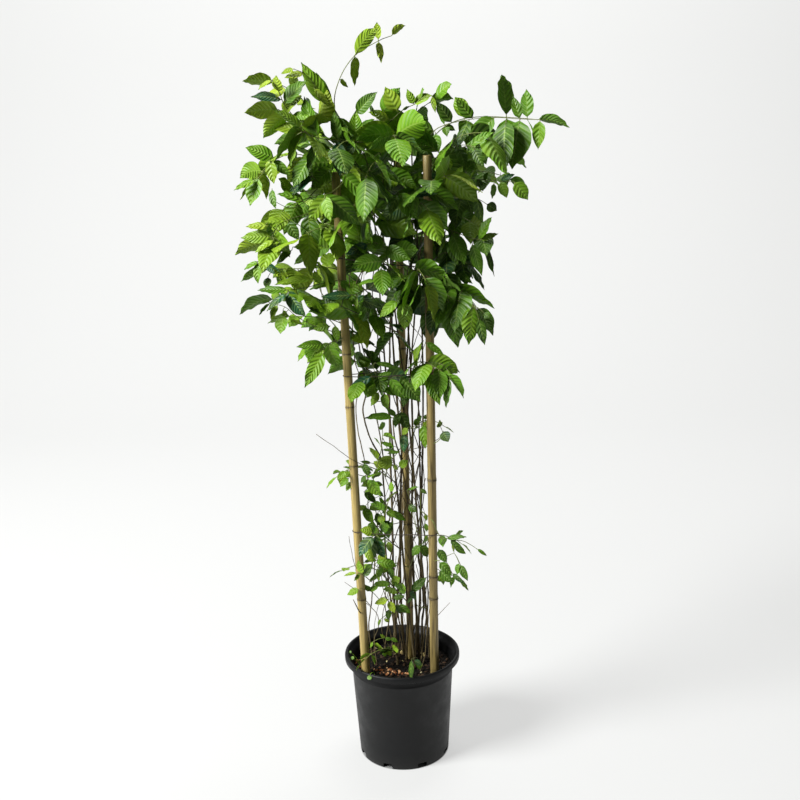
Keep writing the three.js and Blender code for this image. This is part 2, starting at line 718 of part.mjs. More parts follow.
// Where the rings of a shoot's tube lie, and the collars among them that bear leaves
function layOut(shoot, curve) {
  const steps = Math.max(3, Math.round(curve.getLength() / shoot.space));
  const points = curve.getSpacedPoints(steps);
  const rings = [points[0]];
  const collars = [];
  for (let i = 0; i < steps; i++) {
    const share = (i + 0.5) / steps;
    if (share < shoot.bare) {
      if (i > 0) rings.push(points[i]);
      continue;
    }
    const middle = points[i].clone().lerp(points[i + 1], 0.5);
    const ahead = points[i + 1].clone().sub(points[i]).normalize();
    collars.push({ ring: rings.length, place: steps - i, share, middle, ahead });
    rings.push(middle.clone().addScaledVector(ahead, -SHOOT.collar / 2));
    rings.push(middle.clone().addScaledVector(ahead, SHOOT.collar / 2));
  }
  rings.push(points[steps]);
  return { rings, collars };
}

function findWay(shoot, stems, random) {
  const first = point(shoot.way[0]);
  const byDistance = stems
    .filter((stem) => stem.top > shoot.from + 10)
    .map((stem) => ({ stem, start: stemAt(stem, shoot.from) }))
    .sort((a, b) => a.start.distanceTo(first) - b.start.distanceTo(first));
  for (let attempt = 0; attempt < SHOOT.tries; attempt++) {
    const nearness = Math.min(Math.floor(attempt / SHOOT.triesPerStem), byDistance.length - 1);
    const { stem, start } = byDistance[nearness];
    const shake = SHAKE.least + (attempt % SHOOT.triesPerStem) * SHAKE.more;
    const way = shoot.way.map((place) => {
      const spot = point(place);
      spot.x += between(random, -shake, shake);
      spot.y += between(random, -shake, shake);
      spot.z += between(random, -shake, shake);
      return spot;
    });
    const laid = layOut(shoot, new THREE.CatmullRomCurve3([start, ...way]));
    const trial = tube(laid.rings, SHOOT.radius + SHOOT.clearance, SHOOT.sides);
    if (isClear(trial, stem.name)) return { stem, ...laid };
  }
  throw new Error(shoot.name + " finds no clear way");
}

// The leaves wanted at a place of a shoot whose leaves are given one by one
function wantedAt(shoot, place) {
  return shoot.tips.filter(([spot]) => spot === place).map(([, ...tip]) => tip);
}

// The way that the first leaf of a pair faces: towards its wanted tip, or level with some chance
function facingOf(collar, shoot, random) {
  if (shoot.tips) {
    const [tip] = wantedAt(shoot, collar.place);
    if (tip) return point(tip.slice(0, 3)).sub(collar.middle).projectOnPlane(collar.ahead).normalize();
  }
  const level = collar.ahead.clone().cross(UP);
  if (level.length() < 0.1) level.set(1, 0, 0);
  const isCrosswise = Math.abs(collar.ahead.z) > UPRIGHT && collar.place % 2 === 0;
  const turn = (isCrosswise ? degrees(90) : 0) + between(random, -PAIR_TURN, PAIR_TURN);
  return level.normalize().applyAxisAngle(collar.ahead, turn);
}

// Each ring of a shoot has four corners, turned so that a face of each collar looks at its first leaf
function cornersOfRings(shoot) {
  const { rings, collars } = shoot;
  const side = new THREE.Vector3(1, 0, 0);
  let turn = 0;
  return rings.map((centre, i) => {
    const before = rings[Math.max(0, i - 1)];
    const after = rings[Math.min(rings.length - 1, i + 1)];
    const collar = collars.find(({ ring }) => i === ring || i === ring + 1);
    const ahead = collar ? collar.ahead : after.clone().sub(before).normalize();
    side.projectOnPlane(ahead).normalize();
    const up = ahead.clone().cross(side);
    if (collar && i === collar.ring) {
      const wanted = Math.atan2(collar.facing.dot(up), collar.facing.dot(side)) - degrees(45);
      const quarters = Math.round((wanted - turn) / degrees(90));
      turn = wanted - quarters * degrees(90);
      collar.face = ((quarters % 4) + 4) % 4;
    }
    return [0, 1, 2, 3].map((k) =>
      centre
        .clone()
        .addScaledVector(side, SHOOT.radius * Math.cos(turn + degrees(90 * k)))
        .addScaledVector(up, SHOOT.radius * Math.sin(turn + degrees(90 * k))),
    );
  });
}

// The four corners of one face of a collar, the same way round as a leaf's section
function faceOf(near, far, face) {
  const next = (face + 1) % 4;
  return [near[face], near[next], far[next], far[face]];
}

// The skin of a shoot: its tube, with each leaf drawn out of the face that bears it
function shootSkin(corners, leaves) {
  const surface = new Surface();
  const loops = corners.map((ring) => surface.add(...ring));
  surface.startCap(loops[0]);
  for (let i = 0; i + 1 < loops.length; i++) {
    const borne = leaves.filter(({ ring }) => ring === i);
    surface.band(loops[i], loops[i + 1], borne.map(({ face }) => face));
    for (const leaf of borne) drawLeaf(surface, leaf, faceOf(loops[i], loops[i + 1], leaf.face));
  }
  const end = loops[loops.length - 1];
  const endLeaf = leaves.find(({ ring }) => ring === loops.length - 1);
  if (endLeaf) drawLeaf(surface, endLeaf, end);
  else surface.endCap(end);
  return surface.solid();
}

function drawLeaf(surface, leaf, root) {
  const sections = leafSections(leaf);
  surface.leaf(turnedBy(root, leastTwist(leaf.root, sections[0])), sections, leaf.tip);
}

// A leaf that stays in front of the face that it grows from, and crosses nothing
function leafWithRoom(wish, bearer, own, owner) {
  const isAhead = (corner) => corner.sub(bearer.base).dot(bearer.facing) > LEAF_AHEAD;
  for (let attempt = 0; attempt < LEAF_TRIES; attempt++) {
    const leaf = { ...wish(attempt / LEAF_TRIES), ...bearer };
    if (leafMidrib(leaf).getTangent(0).angleTo(bearer.facing) > STEEPEST_LEAF) continue;
    const [section] = leafSections(leaf);
    if (twistOf(bearer.root, section, leastTwist(bearer.root, section)) > STEEPEST_TWIST) continue;
    if (!leafSections(leaf).flat().every(isAhead)) continue;
    if (!isClear(leafAlone(leaf, LEAF_CLEARANCE))) continue;
    const rooted = leafWithRoot(leaf, bearer.root);
    if (!isSound(rooted)) continue;
    if (own.some((piece) => piece.intersect(rooted).volume() > ROOT_OVERLAP)) continue;
    if (!isClear(leafWithRoot(leaf, bearer.root, LEAF_CLEARANCE), owner)) continue;
    own.push(rooted);
    place(rooted, owner);
    return leaf;
  }
  return null;
}

// Grows the leaves of a shoot in pairs from its collars, and one from its end
function growLeaves(shoot, random) {
  const { collars, corners, rings } = shoot;
  const own = [shootSkin(corners, [])];
  const leaves = [];
  const grow = (bearer, wish) => {
    const leaf = leafWithRoom(wish, bearer, own, shoot.name);
    if (leaf) leaves.push(leaf);
  };
  for (const collar of collars) {
    const { ring, middle, ahead, share } = collar;
    const wanted = shoot.tips && wantedAt(shoot, collar.place);
    const length = THREE.MathUtils.mapLinear(share, shoot.bare, 1, ...shoot.leaf);
    [1, -1].forEach((sign, i) => {
      if (wanted ? i >= wanted.length : random() < LEAF_SKIP) return;
      const facing = collar.facing.clone().multiplyScalar(sign);
      const face = (collar.face + 2 * i) % 4;
      const base = middle.clone().addScaledVector(facing, SHOOT.radius * Math.SQRT1_2);
      const root = faceOf(corners[ring], corners[ring + 1], face);
      grow({ base, facing, ring, face, root }, (ease) =>
        wanted
          ? leafByHand(base, wanted[i], shoot, random, ease)
          : leafByRule(base, ahead, facing, length, shoot, random, ease),
      );
    });
  }
  const last = rings.length - 1;
  const base = rings[last];
  const facing = base.clone().sub(rings[last - 1]).normalize();
  const wanted = shoot.tips && wantedAt(shoot, 0)[0];
  grow({ base, facing, ring: last, root: corners[last] }, (ease) =>
    wanted
      ? leafByHand(base, wanted, shoot, random, ease)
      : leafByRule(base, facing, facing, shoot.leaf[1], shoot, random, ease),
  );
  return leaves;
}

// The shoot starts against its woody stem, in the seat that keeps every triangle wide enough
function seated(shoot) {
  const whole = shootSkin(shoot.corners, shoot.leaves);
  const { points, radius } = shoot.stem;
  for (const sides of SEAT_SIDES) {
    const roundness = sides === STEM.sides ? 1 : Math.cos(Math.PI / sides);
    for (let gap = GAP; gap < 2 * GAP; gap += GAP / 8) {
      const solid = largestBody(whole.subtract(tube(points, (radius + gap) / roundness, sides)));
      if (isSound(solid)) return solid;
    }
  }
  throw new Error(shoot.name + " doesn't sit cleanly on its stem");
}

// Assembly

const potted = new THREE.Group();
potted.name = "potted_rangoon_creeper";

const pot = makePot();
place(pot, "pot");
potted.add(namedMesh("pot", pot, 0x25272a, 0.55));

for (const cane of CANES) {
  const solid = caneSolid(cane);
  place(solid, cane.name);
  potted.add(namedMesh(cane.name, solid, 0xb18f5c, 0.6));
}
for (const tie of TIES) {
  const solid = makeTie(tie);
  place(solid, tie.name);
  potted.add(namedMesh(tie.name, solid, 0x1f1c19, 0.9));
}

const stems = makeStems();
for (const stem of stems) potted.add(namedMesh(stem.name, stem.solid, 0x5d4a33, 0.8));

const mixRadius = POT.footRadius + ((POT.underRimRadius - POT.footRadius) * MIX.top) / (POT.height - POT.rimHeight);
const mixBody = turned(
  [
    [0, POT.floor + GAP],
    [POT.footRadius - POT.wall - GAP, POT.floor + GAP],
    [mixRadius - POT.wall - 2 * GAP, MIX.top - MIX.edgeDrop],
    [mixRadius / 2, MIX.top + MIX.crownRise],
    [0, MIX.top + MIX.crownRise],
  ],
  POT.sides,
);
const holes = joined([...CANES.map((cane) => caneSolid(cane, GAP)), ...stems.map(swollenStem)]);
const mix = mixBody.subtract(holes);
place(mix, "growing_mix");
potted.add(namedMesh("growing_mix", mix, 0x33261c, 0.95));

const random = seededRandom(SEED + 1);
for (const shoot of SHOOTS) {
  Object.assign(shoot, findWay(shoot, stems, random));
  for (const collar of shoot.collars) collar.facing = facingOf(collar, shoot, random);
  shoot.corners = cornersOfRings(shoot);
  place(shootSkin(shoot.corners, []), shoot.name);
}
for (const shoot of SHOOTS) {
  shoot.leaves = growLeaves(shoot, random);
  const colour = shoot.leaf[0] > LARGE_LEAF ? 0x3f7420 : 0x4d8426;
  potted.add(namedMesh("shoot_" + shoot.name, seated(shoot), colour, 0.5));
}

export default potted;
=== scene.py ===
"""A Rangoon creeper in a nursery pot, tied to three bamboo canes. Metres, +Z up, built round its frame."""
import math
import random
from functools import partial

import bmesh
import bpy
from bpy.props import FloatProperty, FloatVectorProperty, IntProperty, PointerProperty
from mathutils import Matrix, Vector, noise


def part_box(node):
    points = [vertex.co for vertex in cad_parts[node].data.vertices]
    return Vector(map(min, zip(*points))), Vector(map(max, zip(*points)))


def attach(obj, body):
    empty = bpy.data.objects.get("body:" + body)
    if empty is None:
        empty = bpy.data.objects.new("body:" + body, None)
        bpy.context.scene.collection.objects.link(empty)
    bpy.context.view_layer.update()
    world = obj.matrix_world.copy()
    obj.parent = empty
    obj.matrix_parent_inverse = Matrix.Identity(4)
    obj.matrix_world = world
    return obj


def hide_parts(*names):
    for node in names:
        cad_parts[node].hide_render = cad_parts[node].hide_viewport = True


bl_info = {
    "name": "Potted Rangoon Creeper",
    "version": (1, 0, 0),
    "blender": (4, 5, 0),
    "location": "3D View > Sidebar > Creeper",
    "description": "Builds a climbing creeper with its canes, ties, pot and bark mix",
    "category": "Add Mesh",
}

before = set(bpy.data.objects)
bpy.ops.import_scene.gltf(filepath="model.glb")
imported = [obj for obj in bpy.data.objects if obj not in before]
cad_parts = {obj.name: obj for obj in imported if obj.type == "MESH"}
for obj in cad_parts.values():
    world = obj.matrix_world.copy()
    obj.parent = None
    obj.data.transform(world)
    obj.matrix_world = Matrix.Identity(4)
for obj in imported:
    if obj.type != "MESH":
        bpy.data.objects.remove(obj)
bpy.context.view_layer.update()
MM = 0.001

# What the frame's pieces have in common
WELD = 1e-6  # corners of a CAD mesh that are closer than this are one corner
RUNG = 1.2 * MM  # a leaf's thickness at its midrib, by which its sections are found
RUNG_PLAY = 0.02 * MM
SHOOT_RADIUS = 1.25 * MM
RING_PLAY = 0.06 * MM
COLLAR = 5 * MM  # two rings of a shoot that are closer than this carry one pair of leaves
SECTION_PLACES = {3: (0.18, 0.46, 0.76), 2: (0.3, 0.66)}  # where a leaf's sections stand on its midrib
LIGHT_UP, LIGHT_OUT, LIGHT_FRONT = 0.4, 0.6, 0.9  # where the light came from while the plant grew
FRONT_LIT = 0.05  # leaves that are further back than this turn to the back
PLANT_MIDDLE = Vector((0.010, 0.030, 0.0))
JOINT_RISE = 1.3  # how far a cane's joint stands out, in millimetres

# The outline of a leaf: place on the midrib, half width as a share of the widest
OUTLINE = (
    (0.0, 0.014), (0.035, 0.016), (0.06, 0.10), (0.085, 0.32), (0.12, 0.55), (0.18, 0.76), (0.27, 0.92),
    (0.37, 0.99), (0.46, 1.0), (0.56, 0.95), (0.66, 0.83), (0.76, 0.63), (0.84, 0.41), (0.90, 0.24),
    (0.95, 0.11), (0.98, 0.045), (1.0, 0.0),
)

# Where the photograph was taken from: millimetres, pixels of an 800 pixel wide picture, degrees
CAMERA = {"place": (12.37, -2600, 1652.84), "focal": 1092.11, "tilt": 14.94, "roll": 1.56}
PICTURE = 800
SENSOR = 36  # millimetres


def camera_turn():
    """The camera's place and direction as one matrix."""
    tilt, roll = math.radians(CAMERA["tilt"]), math.radians(CAMERA["roll"])
    ahead = Vector((0, math.cos(tilt), -math.sin(tilt)))
    up = Matrix.Rotation(roll, 3, ahead) @ Vector((0, math.sin(tilt), math.cos(tilt)))
    turn = Matrix((ahead.cross(up), up, -ahead)).transposed().to_4x4()
    turn.translation = Vector(CAMERA["place"]) * MM
    return turn


VIEW = camera_turn()


def seen_at(across, down, depth):
    """The point that a pixel of the picture shows, at a depth in millimetres behind the pot's middle."""
    ray = Vector(((across - PICTURE / 2) / CAMERA["focal"], (PICTURE / 2 - down) / CAMERA["focal"], -1))
    ray.rotate(VIEW.to_quaternion())
    start = VIEW.translation
    return start + ray * ((depth * MM - start.y) / ray.y)


def on_level(across, down, height):
    """The point at a height in millimetres that a pixel of the picture shows."""
    far, near = seen_at(across, down, 100), seen_at(across, down, -100)
    return far.lerp(near, (height * MM - far.z) / (near.z - far.z))


def pixel_of(point):
    """The pixel of the picture in which a point is seen."""
    spot = VIEW.inverted() @ point
    across, down = -spot.x / spot.z * CAMERA["focal"], spot.y / spot.z * CAMERA["focal"]
    return Vector((PICTURE / 2 + across, PICTURE / 2 + down))


# Settings


def paint(code):
    """An sRGB hex colour as linear RGBA."""
    channels = [int(code[i : i + 2], 16) / 255 for i in (1, 3, 5)]
    return (*(c / 12.92 if c <= 0.04045 else ((c + 0.055) / 1.055) ** 2.4 for c in channels), 1.0)


def colour(name, code, description):
    """A colour property whose default is a hex colour."""
    return FloatVectorProperty(
        name=name, description=description, subtype="COLOR", size=4, min=0, max=1, default=paint(code)
    )


def length(name, millimetres, description):
    """A length property whose default is given in millimetres."""
    return FloatProperty(
        name=name, description=description, subtype="DISTANCE", unit="LENGTH", min=0, default=millimetres * MM
    )


def amount(name, value, description, unit="NONE"):
    """A property for a number that is never below zero."""
    return FloatProperty(name=name, description=description, unit=unit, min=0, default=value)


class PotSettings(bpy.types.PropertyGroup):
    rim_radius: length("Rim radius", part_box("pot")[1].x / MM, "Half the width across the rim")
    height: length("Height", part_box("pot")[1].z / MM, "Height to the top of the rim")
    neck_radius: length("Neck radius", 134, "Half the width just under the rim")
    foot_radius: length("Foot radius", 117.5, "Half the width across the foot")
    rim_height: length("Rim height", 16, "How far the rim's skirt reaches down")
    wall: length("Wall", 2.6, "Thickness of the moulded wall")
    plastic: colour("Plastic", "#0D0E0F", "Colour of the moulded plastic")


class CaneSettings(bpy.types.PropertyGroup):
    ring_rise: length("Joint rise", JOINT_RISE, "How far a joint stands out from the cane")
    skin: colour("Skin", "#B29D5E", "Dry bamboo skin")
    dark_skin: colour("Weathered skin", "#3B2F17", "Weathered streaks and joints")


class TieSettings(bpy.types.PropertyGroup):
    radius: length("Twine radius", 1.1, "Half the thickness of the twine")
    fibre: colour("Fibre", "#4B4136", "Colour of the twine")


class StemSettings(bpy.types.PropertyGroup):
    top_share: FloatProperty(
        name="Taper", description="Thickness of a stem's top as a share of its foot", subtype="FACTOR",
        min=0.1, max=1, default=0.55,
    )
    bark: colour("Bark", "#4D4229", "Bark of the old stems")
    pale_bark: colour("Pale bark", "#84764F", "Ridges and lichen on the bark")
    young: colour("Young stem", "#58632F", "Skin of a green shoot")


class LeafSettings(bpy.types.PropertyGroup):
    thickness: length("Thickness", 0.5, "Thickness of a blade")
    relief: length("Vein relief", 1.7, "How far a large blade sinks along its side veins")
    wave: length("Edge wave", 2.4, "How far the edge of a large blade waves up and down")
    # A leaf's tone picks among these greens; besides its age it carries painted light and shade. Painted
    # reflection: the bluish green paints the sky's sheen on the wax, and the fresh green is paled a little
    # towards a painted sheen.
    teal_sheen: colour("Shaded leaf", "#225C3C", "Bluish colour of leaves that grew in the shade")
    dark: colour("Old leaf", "#33500F", "Colour of the oldest leaves")
    middle: colour("Grown leaf", "#629612", "Colour of most leaves")
    fresh: colour("Fresh leaf", "#A8C032", "Colour of the newest leaves")
    under: colour("Underside", "#6A9433", "Paler underside of a leaf")
    vein: colour("Vein", "#A3C25A", "Midrib and side veins")


class MixSettings(bpy.types.PropertyGroup):
    chips: IntProperty(
        name="Bark chips", description="How many bark chips lie on the mix", min=0, default=520,
    )
    stones: IntProperty(
        name="Clay pebbles", description="How many pebbles lie on the mix", min=0, default=64,
    )
    bark: colour("Mix", "#090704", "Damp composted bark")
    chip: colour("Bark chip", "#17110B", "Dry bark chips")
    stone: colour("Clay pebble", "#935A34", "Fired clay pebbles")
    scrap: colour("Dry scrap", "#DCCB86", "Dry leaf and fibre scraps")


class StageSettings(bpy.types.PropertyGroup):
    floor: colour("Floor", "#838483", "Plain floor and backdrop")
    glow: colour("Glow", "#F3F3F2", "Colour in which the lit paper shines")
    floor_glow: amount("Floor glow", 0.605, "How much the lit paper shines by itself")
    key_power: amount("Key light", 700, "Power of the soft light on the left", "POWER")
    fill_power: amount("Fill light", 4, "Power of the soft light on the right", "POWER")
    backdrop_power: amount("Backdrop light", 225, "Power of the light on the backdrop", "POWER")
    daylight: amount("Daylight", 0.1, "Strength of the light from all round")


# Shared making


def add_node(tree, kind, inputs=(), stops=(), **settings):
    """Adds one node; an input is a value, a socket, or a node, which stands for its first output in use."""
    node = tree.nodes.new("ShaderNode" + kind)
    for name, value in settings.items():
        setattr(node, name, value)
    for socket, value in dict(inputs).items():
        if isinstance(value, bpy.types.Node):
            value = next(output for output in value.outputs if output.enabled)
        if isinstance(value, bpy.types.NodeSocket):
            tree.links.new(value, node.inputs[socket])
        else:
            node.inputs[socket].default_value = value
    for place, code in stops:
        points = node.color_ramp.elements
        point = {0: points[0], 1: points[-1]}.get(place) or points.new(place)
        point.color = code
    return node


def from_to(low, high, start, end):
    """The inputs of a map range that takes low and high to start and end."""
    return {"From Min": low, "From Max": high, "To Min": start, "To Max": end}


def material(name):
    """A new empty material, and what adds nodes to it."""
    made = bpy.data.materials.new(name)
    made.use_nodes = True
    made.node_tree.nodes.clear()
    return made, partial(add_node, made.node_tree)


def welded(name):
    """A copy of a CAD node's mesh, with its corners joined."""
    bm = bmesh.new()
    bm.from_mesh(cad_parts[name].data)
    bmesh.ops.remove_doubles(bm, verts=bm.verts, dist=WELD)
    return bm


def in_order(corners):
    """Corners in the order of their mesh."""
    return sorted(corners, key=lambda v: v.index)


def middle_of(corners):
    return sum((v.co for v in corners), Vector()) / len(corners)


def put_in_scene(name, data):
    """A new object of the scene."""
    made = bpy.data.objects.new(name, data)
    bpy.context.scene.collection.objects.link(made)
    return made


def mesh_of(name, bm):
    """Turns a bmesh into a mesh."""
    mesh = bpy.data.meshes.new(name)
    bm.to_mesh(mesh)
    bm.free()
    return mesh


def piece(name, bm, materials, stands_for=(), smooth=True):
    """Turns a bmesh into a piece that rides on the plant's one body."""
    mesh = mesh_of(name, bm)
    made = put_in_scene(name, mesh)
    for each in materials:
        mesh.materials.append(each)
    mesh.shade_smooth() if smooth else mesh.shade_flat()
    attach(made, "root")
    if stands_for:
        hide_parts(*stands_for)
    return made


def keep_crisp(made, degrees=35):
    """Keeps the edges of a smooth piece crisp where they turn by more than an angle."""
    made.data.set_sharp_from_angle(angle=math.radians(degrees))


def value_at(table, place):
    """The value of a table of (place, value) at a place, on straight lines between its rows."""
    for (low, first), (high, second) in zip(table, table[1:]):
        if place <= high:
            return first + (second - first) * max(0.0, place - low) / (high - low)
    return table[-1][1]


def smooth_line(points, steps):
    """A smooth line through the points, with a number of steps between each two."""
    ends = [points[0] * 2 - points[1], *points, points[-1] * 2 - points[-2]]
    line = []
    for a, b, c, d in zip(ends, ends[1:], ends[2:], ends[3:]):
        for step in range(steps):
            t = step / steps
            bend, turn = a * 2 - b * 5 + c * 4 - d, b * 3 - a - c * 3 + d
            line.append((b * 2 + (c - a) * t + bend * t**2 + turn * t**3) / 2)
    line.append(points[-1].copy())
    return line


def draw_out(bm, ring):
    """Extrudes a ring of corners and returns the new ring, in the same order."""
    edges = [e for v, w in zip(ring, ring[1:] + ring[:1]) for e in v.link_edges if e.other_vert(v) is w]
    drawn = bmesh.ops.extrude_edge_only(bm, edges=edges)["geom"]
    fresh = {v for v in drawn if isinstance(v, bmesh.types.BMVert)}
    return [next(e.other_vert(v) for e in v.link_edges if e.other_vert(v) in fresh) for v in ring]


def tube(bm, points, radii, sides, heading=None, bumps=None):
    """A rod along points, drawn out of one circle ring by ring and closed at both ends."""
    count = len(points)
    ahead = [
        heading or (points[min(i + 1, count - 1)] - points[max(i - 1, 0)]).normalized() for i in range(count)
    ]
    across = ahead[0].orthogonal().normalized()
    ring = bmesh.ops.create_circle(bm, segments=sides, radius=1, cap_ends=False)["verts"]
    corners = []
    for i, (point, radius) in enumerate(zip(points, radii)):
        if i:
            ring = draw_out(bm, ring)
        corners += ring
        across = (across - ahead[i] * across.dot(ahead[i])).normalized()
        beside = ahead[i].cross(across)
        for k, corner in enumerate(ring):
            angle = 2 * math.pi * k / sides
            reach = radius * (bumps(i, angle) if bumps else 1)
            corner.co = point + (across * math.cos(angle) + beside * math.sin(angle)) * reach
    bmesh.ops.contextual_create(bm, geom=corners[:sides])
    bmesh.ops.contextual_create(bm, geom=ring)
    faces = list(dict.fromkeys(f for v in corners for f in v.link_faces))
    for f in faces:
        f.material_index = 0
        f.smooth = True
    bmesh.ops.recalc_face_normals(bm, faces=faces)
    return corners


# Reading the shoots of the frame


def rings_of(corners, side, play):
    """Groups corners that are joined by edges of one length: the rings of a four-sided rod."""
    free = dict.fromkeys(corners)
    rings = []
    while free:
        ring = [free.popitem()[0]]
        for corner in ring:
            for e in corner.link_edges:
                other = e.other_vert(corner)
                if other in free and abs(e.calc_length() - side) < play:
                    del free[other]
                    ring.append(other)
        rings.append(ring)
    return rings


def read_leaf(chain, around):
    """One leaf of a CAD shoot: where its midrib starts, bends and ends, its widths, folds and sides."""
    shared = [around[a] & around[b] for a, b in chain]
    tip = next(v for v in in_order(shared[-1]) if around[v] <= (shared[-1] | set(chain[-1])))
    edges = [near - far for near, far in zip(shared, shared[1:])] + [shared[-1] - {tip}]
    if len(shared) > 1:
        edges[-1] = (shared[-1] & shared[-2]) - {tip}
    own = {tip} | {v for pair in chain for v in pair} | {v for pair in edges for v in pair}
    base = middle_of(in_order({v for corner in own for v in around[corner]} - own))
    places = SECTION_PLACES.get(len(chain), SECTION_PLACES[3][-len(chain):])
    ribs = [(a.co + b.co) / 2 for a, b in chain]
    t = places[len(chain) // 2]
    bend = (ribs[len(chain) // 2] - base * (1 - t) ** 2 - tip.co * t**2) / (2 * t * (1 - t))
    outward = ribs[-1] - PLANT_MIDDLE
    outward.z = 0
    front = LIGHT_FRONT if outward.y < FRONT_LIT else 0
    light = Vector((0, -front, LIGHT_UP)) + outward.normalized() * LIGHT_OUT
    sections = []
    for place, (a, b), pair, rib in zip(places, chain, edges, ribs):
        left, right = (v.co.copy() for v in in_order(pair))
        normal = (a.co - b.co).normalized()
        if normal.dot(light) < 0:
            normal.negate()
        ahead = 2 * (1 - place) * (bend - base) + 2 * place * (tip.co - bend)
        if (right - left).cross(ahead).dot(normal) < 0:
            left, right = right, left
        rise = ((left + right) / 2 - rib).dot(normal)
        half = (right - left).length / 2
        sections.append((place, (right - left).normalized(), half, rise / half))
    return {"base": base, "bend": bend, "tip": tip.co.copy(), "sections": sections, "own": own}


def read_shoot(name):
    """The line of a CAD shoot from its woody stem outwards, and its leaves."""
    bm = welded(name)
    around = {v: {e.other_vert(v) for e in v.link_edges} for v in bm.verts}
    rung_of = {}
    for a in bm.verts:
        for b in in_order({far for near in around[a] for far in around[near]} - around[a] - {a}):
            thick = (a.co - b.co).length
            if a.index < b.index and abs(thick - RUNG) < RUNG_PLAY and len(around[a] & around[b]) > 2:
                rung_of[a] = rung_of[b] = (a, b)
    leaves = []
    for a, b in sorted(set(rung_of.values()), key=lambda pair: pair[0].index):
        if len(around[a] & around[b]) != 3:
            continue
        chain = [(a, b)]
        while True:
            near_a, near_b = ({rung_of[v] for v in around[end] if v in rung_of} for end in chain[0])
            before = (near_a & near_b) - set(chain)
            if not before:
                break
            chain.insert(0, min(before, key=lambda pair: pair[0].index))
        leaves.append(read_leaf(chain, around))
    taken = {v for leaf in leaves for v in leaf["own"]}
    rings = rings_of([v for v in bm.verts if v not in taken], SHOOT_RADIUS * math.sqrt(2), RING_PLAY)
    seat = [v for ring in rings if len(ring) < 4 for v in ring]
    free = [middle_of(ring) for ring in rings if len(ring) >= 4]
    line = [middle_of(seat)]
    while free:
        nearest = min(free, key=lambda centre: (centre - line[-1]).length)
        free.remove(nearest)
        line.append(nearest)
    line, whole = line[:1], line[1:]
    while whole:
        if len(whole) > 1 and (whole[1] - whole[0]).length < COLLAR:
            line.append((whole[0] + whole[1]) / 2)
            whole = whole[2:]
        else:
            line.append(whole.pop(0))
    for leaf in leaves:
        del leaf["own"]
    bm.free()
    return line, leaves


def read_stem(name):
    """The middle line of a CAD woody stem from its foot up, and its radius."""
    bm = welded(name)
    corners = sorted(bm.verts, key=lambda v: v.co.z)
    rings = [corners[i : i + 4] for i in range(0, len(corners), 4)]
    centres = [middle_of(ring) for ring in rings]
    radius = (rings[0][0].co - centres[0]).length
    bm.free()
    return centres, radius


# Finishes


SHINE_THROUGH = 0.26  # how much of a blade's light comes through it


def leaf_top(settings):
    """Living leaf with a waxy skin: satin gloss, light that shines through, pale veins sunk in the blade, and
    greens that carry painted light and shade.
    """
    made, add = material("living leaf, waxy upper side")
    tone = add("Attribute", attribute_name="tone").outputs["Fac"]
    place = add("TexCoord").outputs["Object"]
    blotch = add("TexNoise", {"Vector": place, "Scale": 1 / (28 * MM), "Detail": 3})
    spread = add("MapRange", {"Value": blotch, **from_to(0.3, 0.7, -0.09, 0.09)})
    age = add("Math", {0: tone, 1: spread}, operation="ADD", use_clamp=True)
    # Painted light: the tone carries painted light and shade besides a leaf's age, and its lowest stop is a
    # painted bluish sky reflection
    green = add("ValToRGB", {"Fac": age}, (
        (0, settings.teal_sheen), (0.12, settings.dark), (0.42, settings.middle), (1, settings.fresh),
    ))
    # The side veins lie on the whole numbers of the blade's second coordinate, the midrib at half its first
    blade = add("SeparateXYZ", {"Vector": add("UVMap", uv_map="blade")}).outputs
    half_way = add("Math", {0: blade["Y"], 1: 0.5}, operation="PINGPONG")
    side_vein = add("MapRange", {"Value": half_way, **from_to(0.03, 0.12, 1, 0)})
    off_middle = add("Math", {0: blade["X"], 1: 0.5}, operation="SUBTRACT")
    from_middle = add("Math", {0: off_middle}, operation="ABSOLUTE")
    midrib = add("MapRange", {"Value": from_middle, **from_to(0.012, 0.04, 1, 0)})
    fade = add("MapRange", {"Value": from_middle, **from_to(0.1, 0.48, 0.75, 0.3)})
    faint = add("Math", {0: side_vein, 1: fade}, operation="MULTIPLY")
    veins = add("Math", {0: faint, 1: midrib}, operation="MAXIMUM")
    share = add("Math", {0: veins, 1: 0.55}, operation="MULTIPLY")
    skin = add("Mix", {"Factor": share, 6: green, 7: settings.vein}, data_type="RGBA")
    # The cells of the blade, drawn 1.2 mm across so that they show
    grain = add("TexNoise", {"Vector": place, "Scale": 1 / (1.2 * MM), "Detail": 2})
    cells = add("Bump", {"Height": grain, "Strength": 0.12, "Distance": 0.3 * MM})
    pillow = add("MapRange", {"Value": half_way, **from_to(0, 0.5, 0, 1)}, interpolation_type="SMOOTHSTEP")
    bump = add("Bump", {"Height": pillow, "Strength": 1, "Distance": 0.75 * MM, "Normal": cells})
    gloss = add("MapRange", {"Value": blotch, **from_to(0.3, 0.7, 0.4, 0.56)})
    wax = add("BsdfPrincipled", {
        "Base Color": skin, "Roughness": gloss, "IOR": 1.45, "Specular IOR Level": 0.52, "Normal": bump,
    })
    glow = add("Mix", {"Factor": 0.55, 6: skin, 7: settings.fresh}, data_type="RGBA")
    through = add("BsdfTranslucent", {"Color": glow})
    both = add("MixShader", {0: SHINE_THROUGH, 1: wax, 2: through})
    add("OutputMaterial", {"Surface": both})
    return made


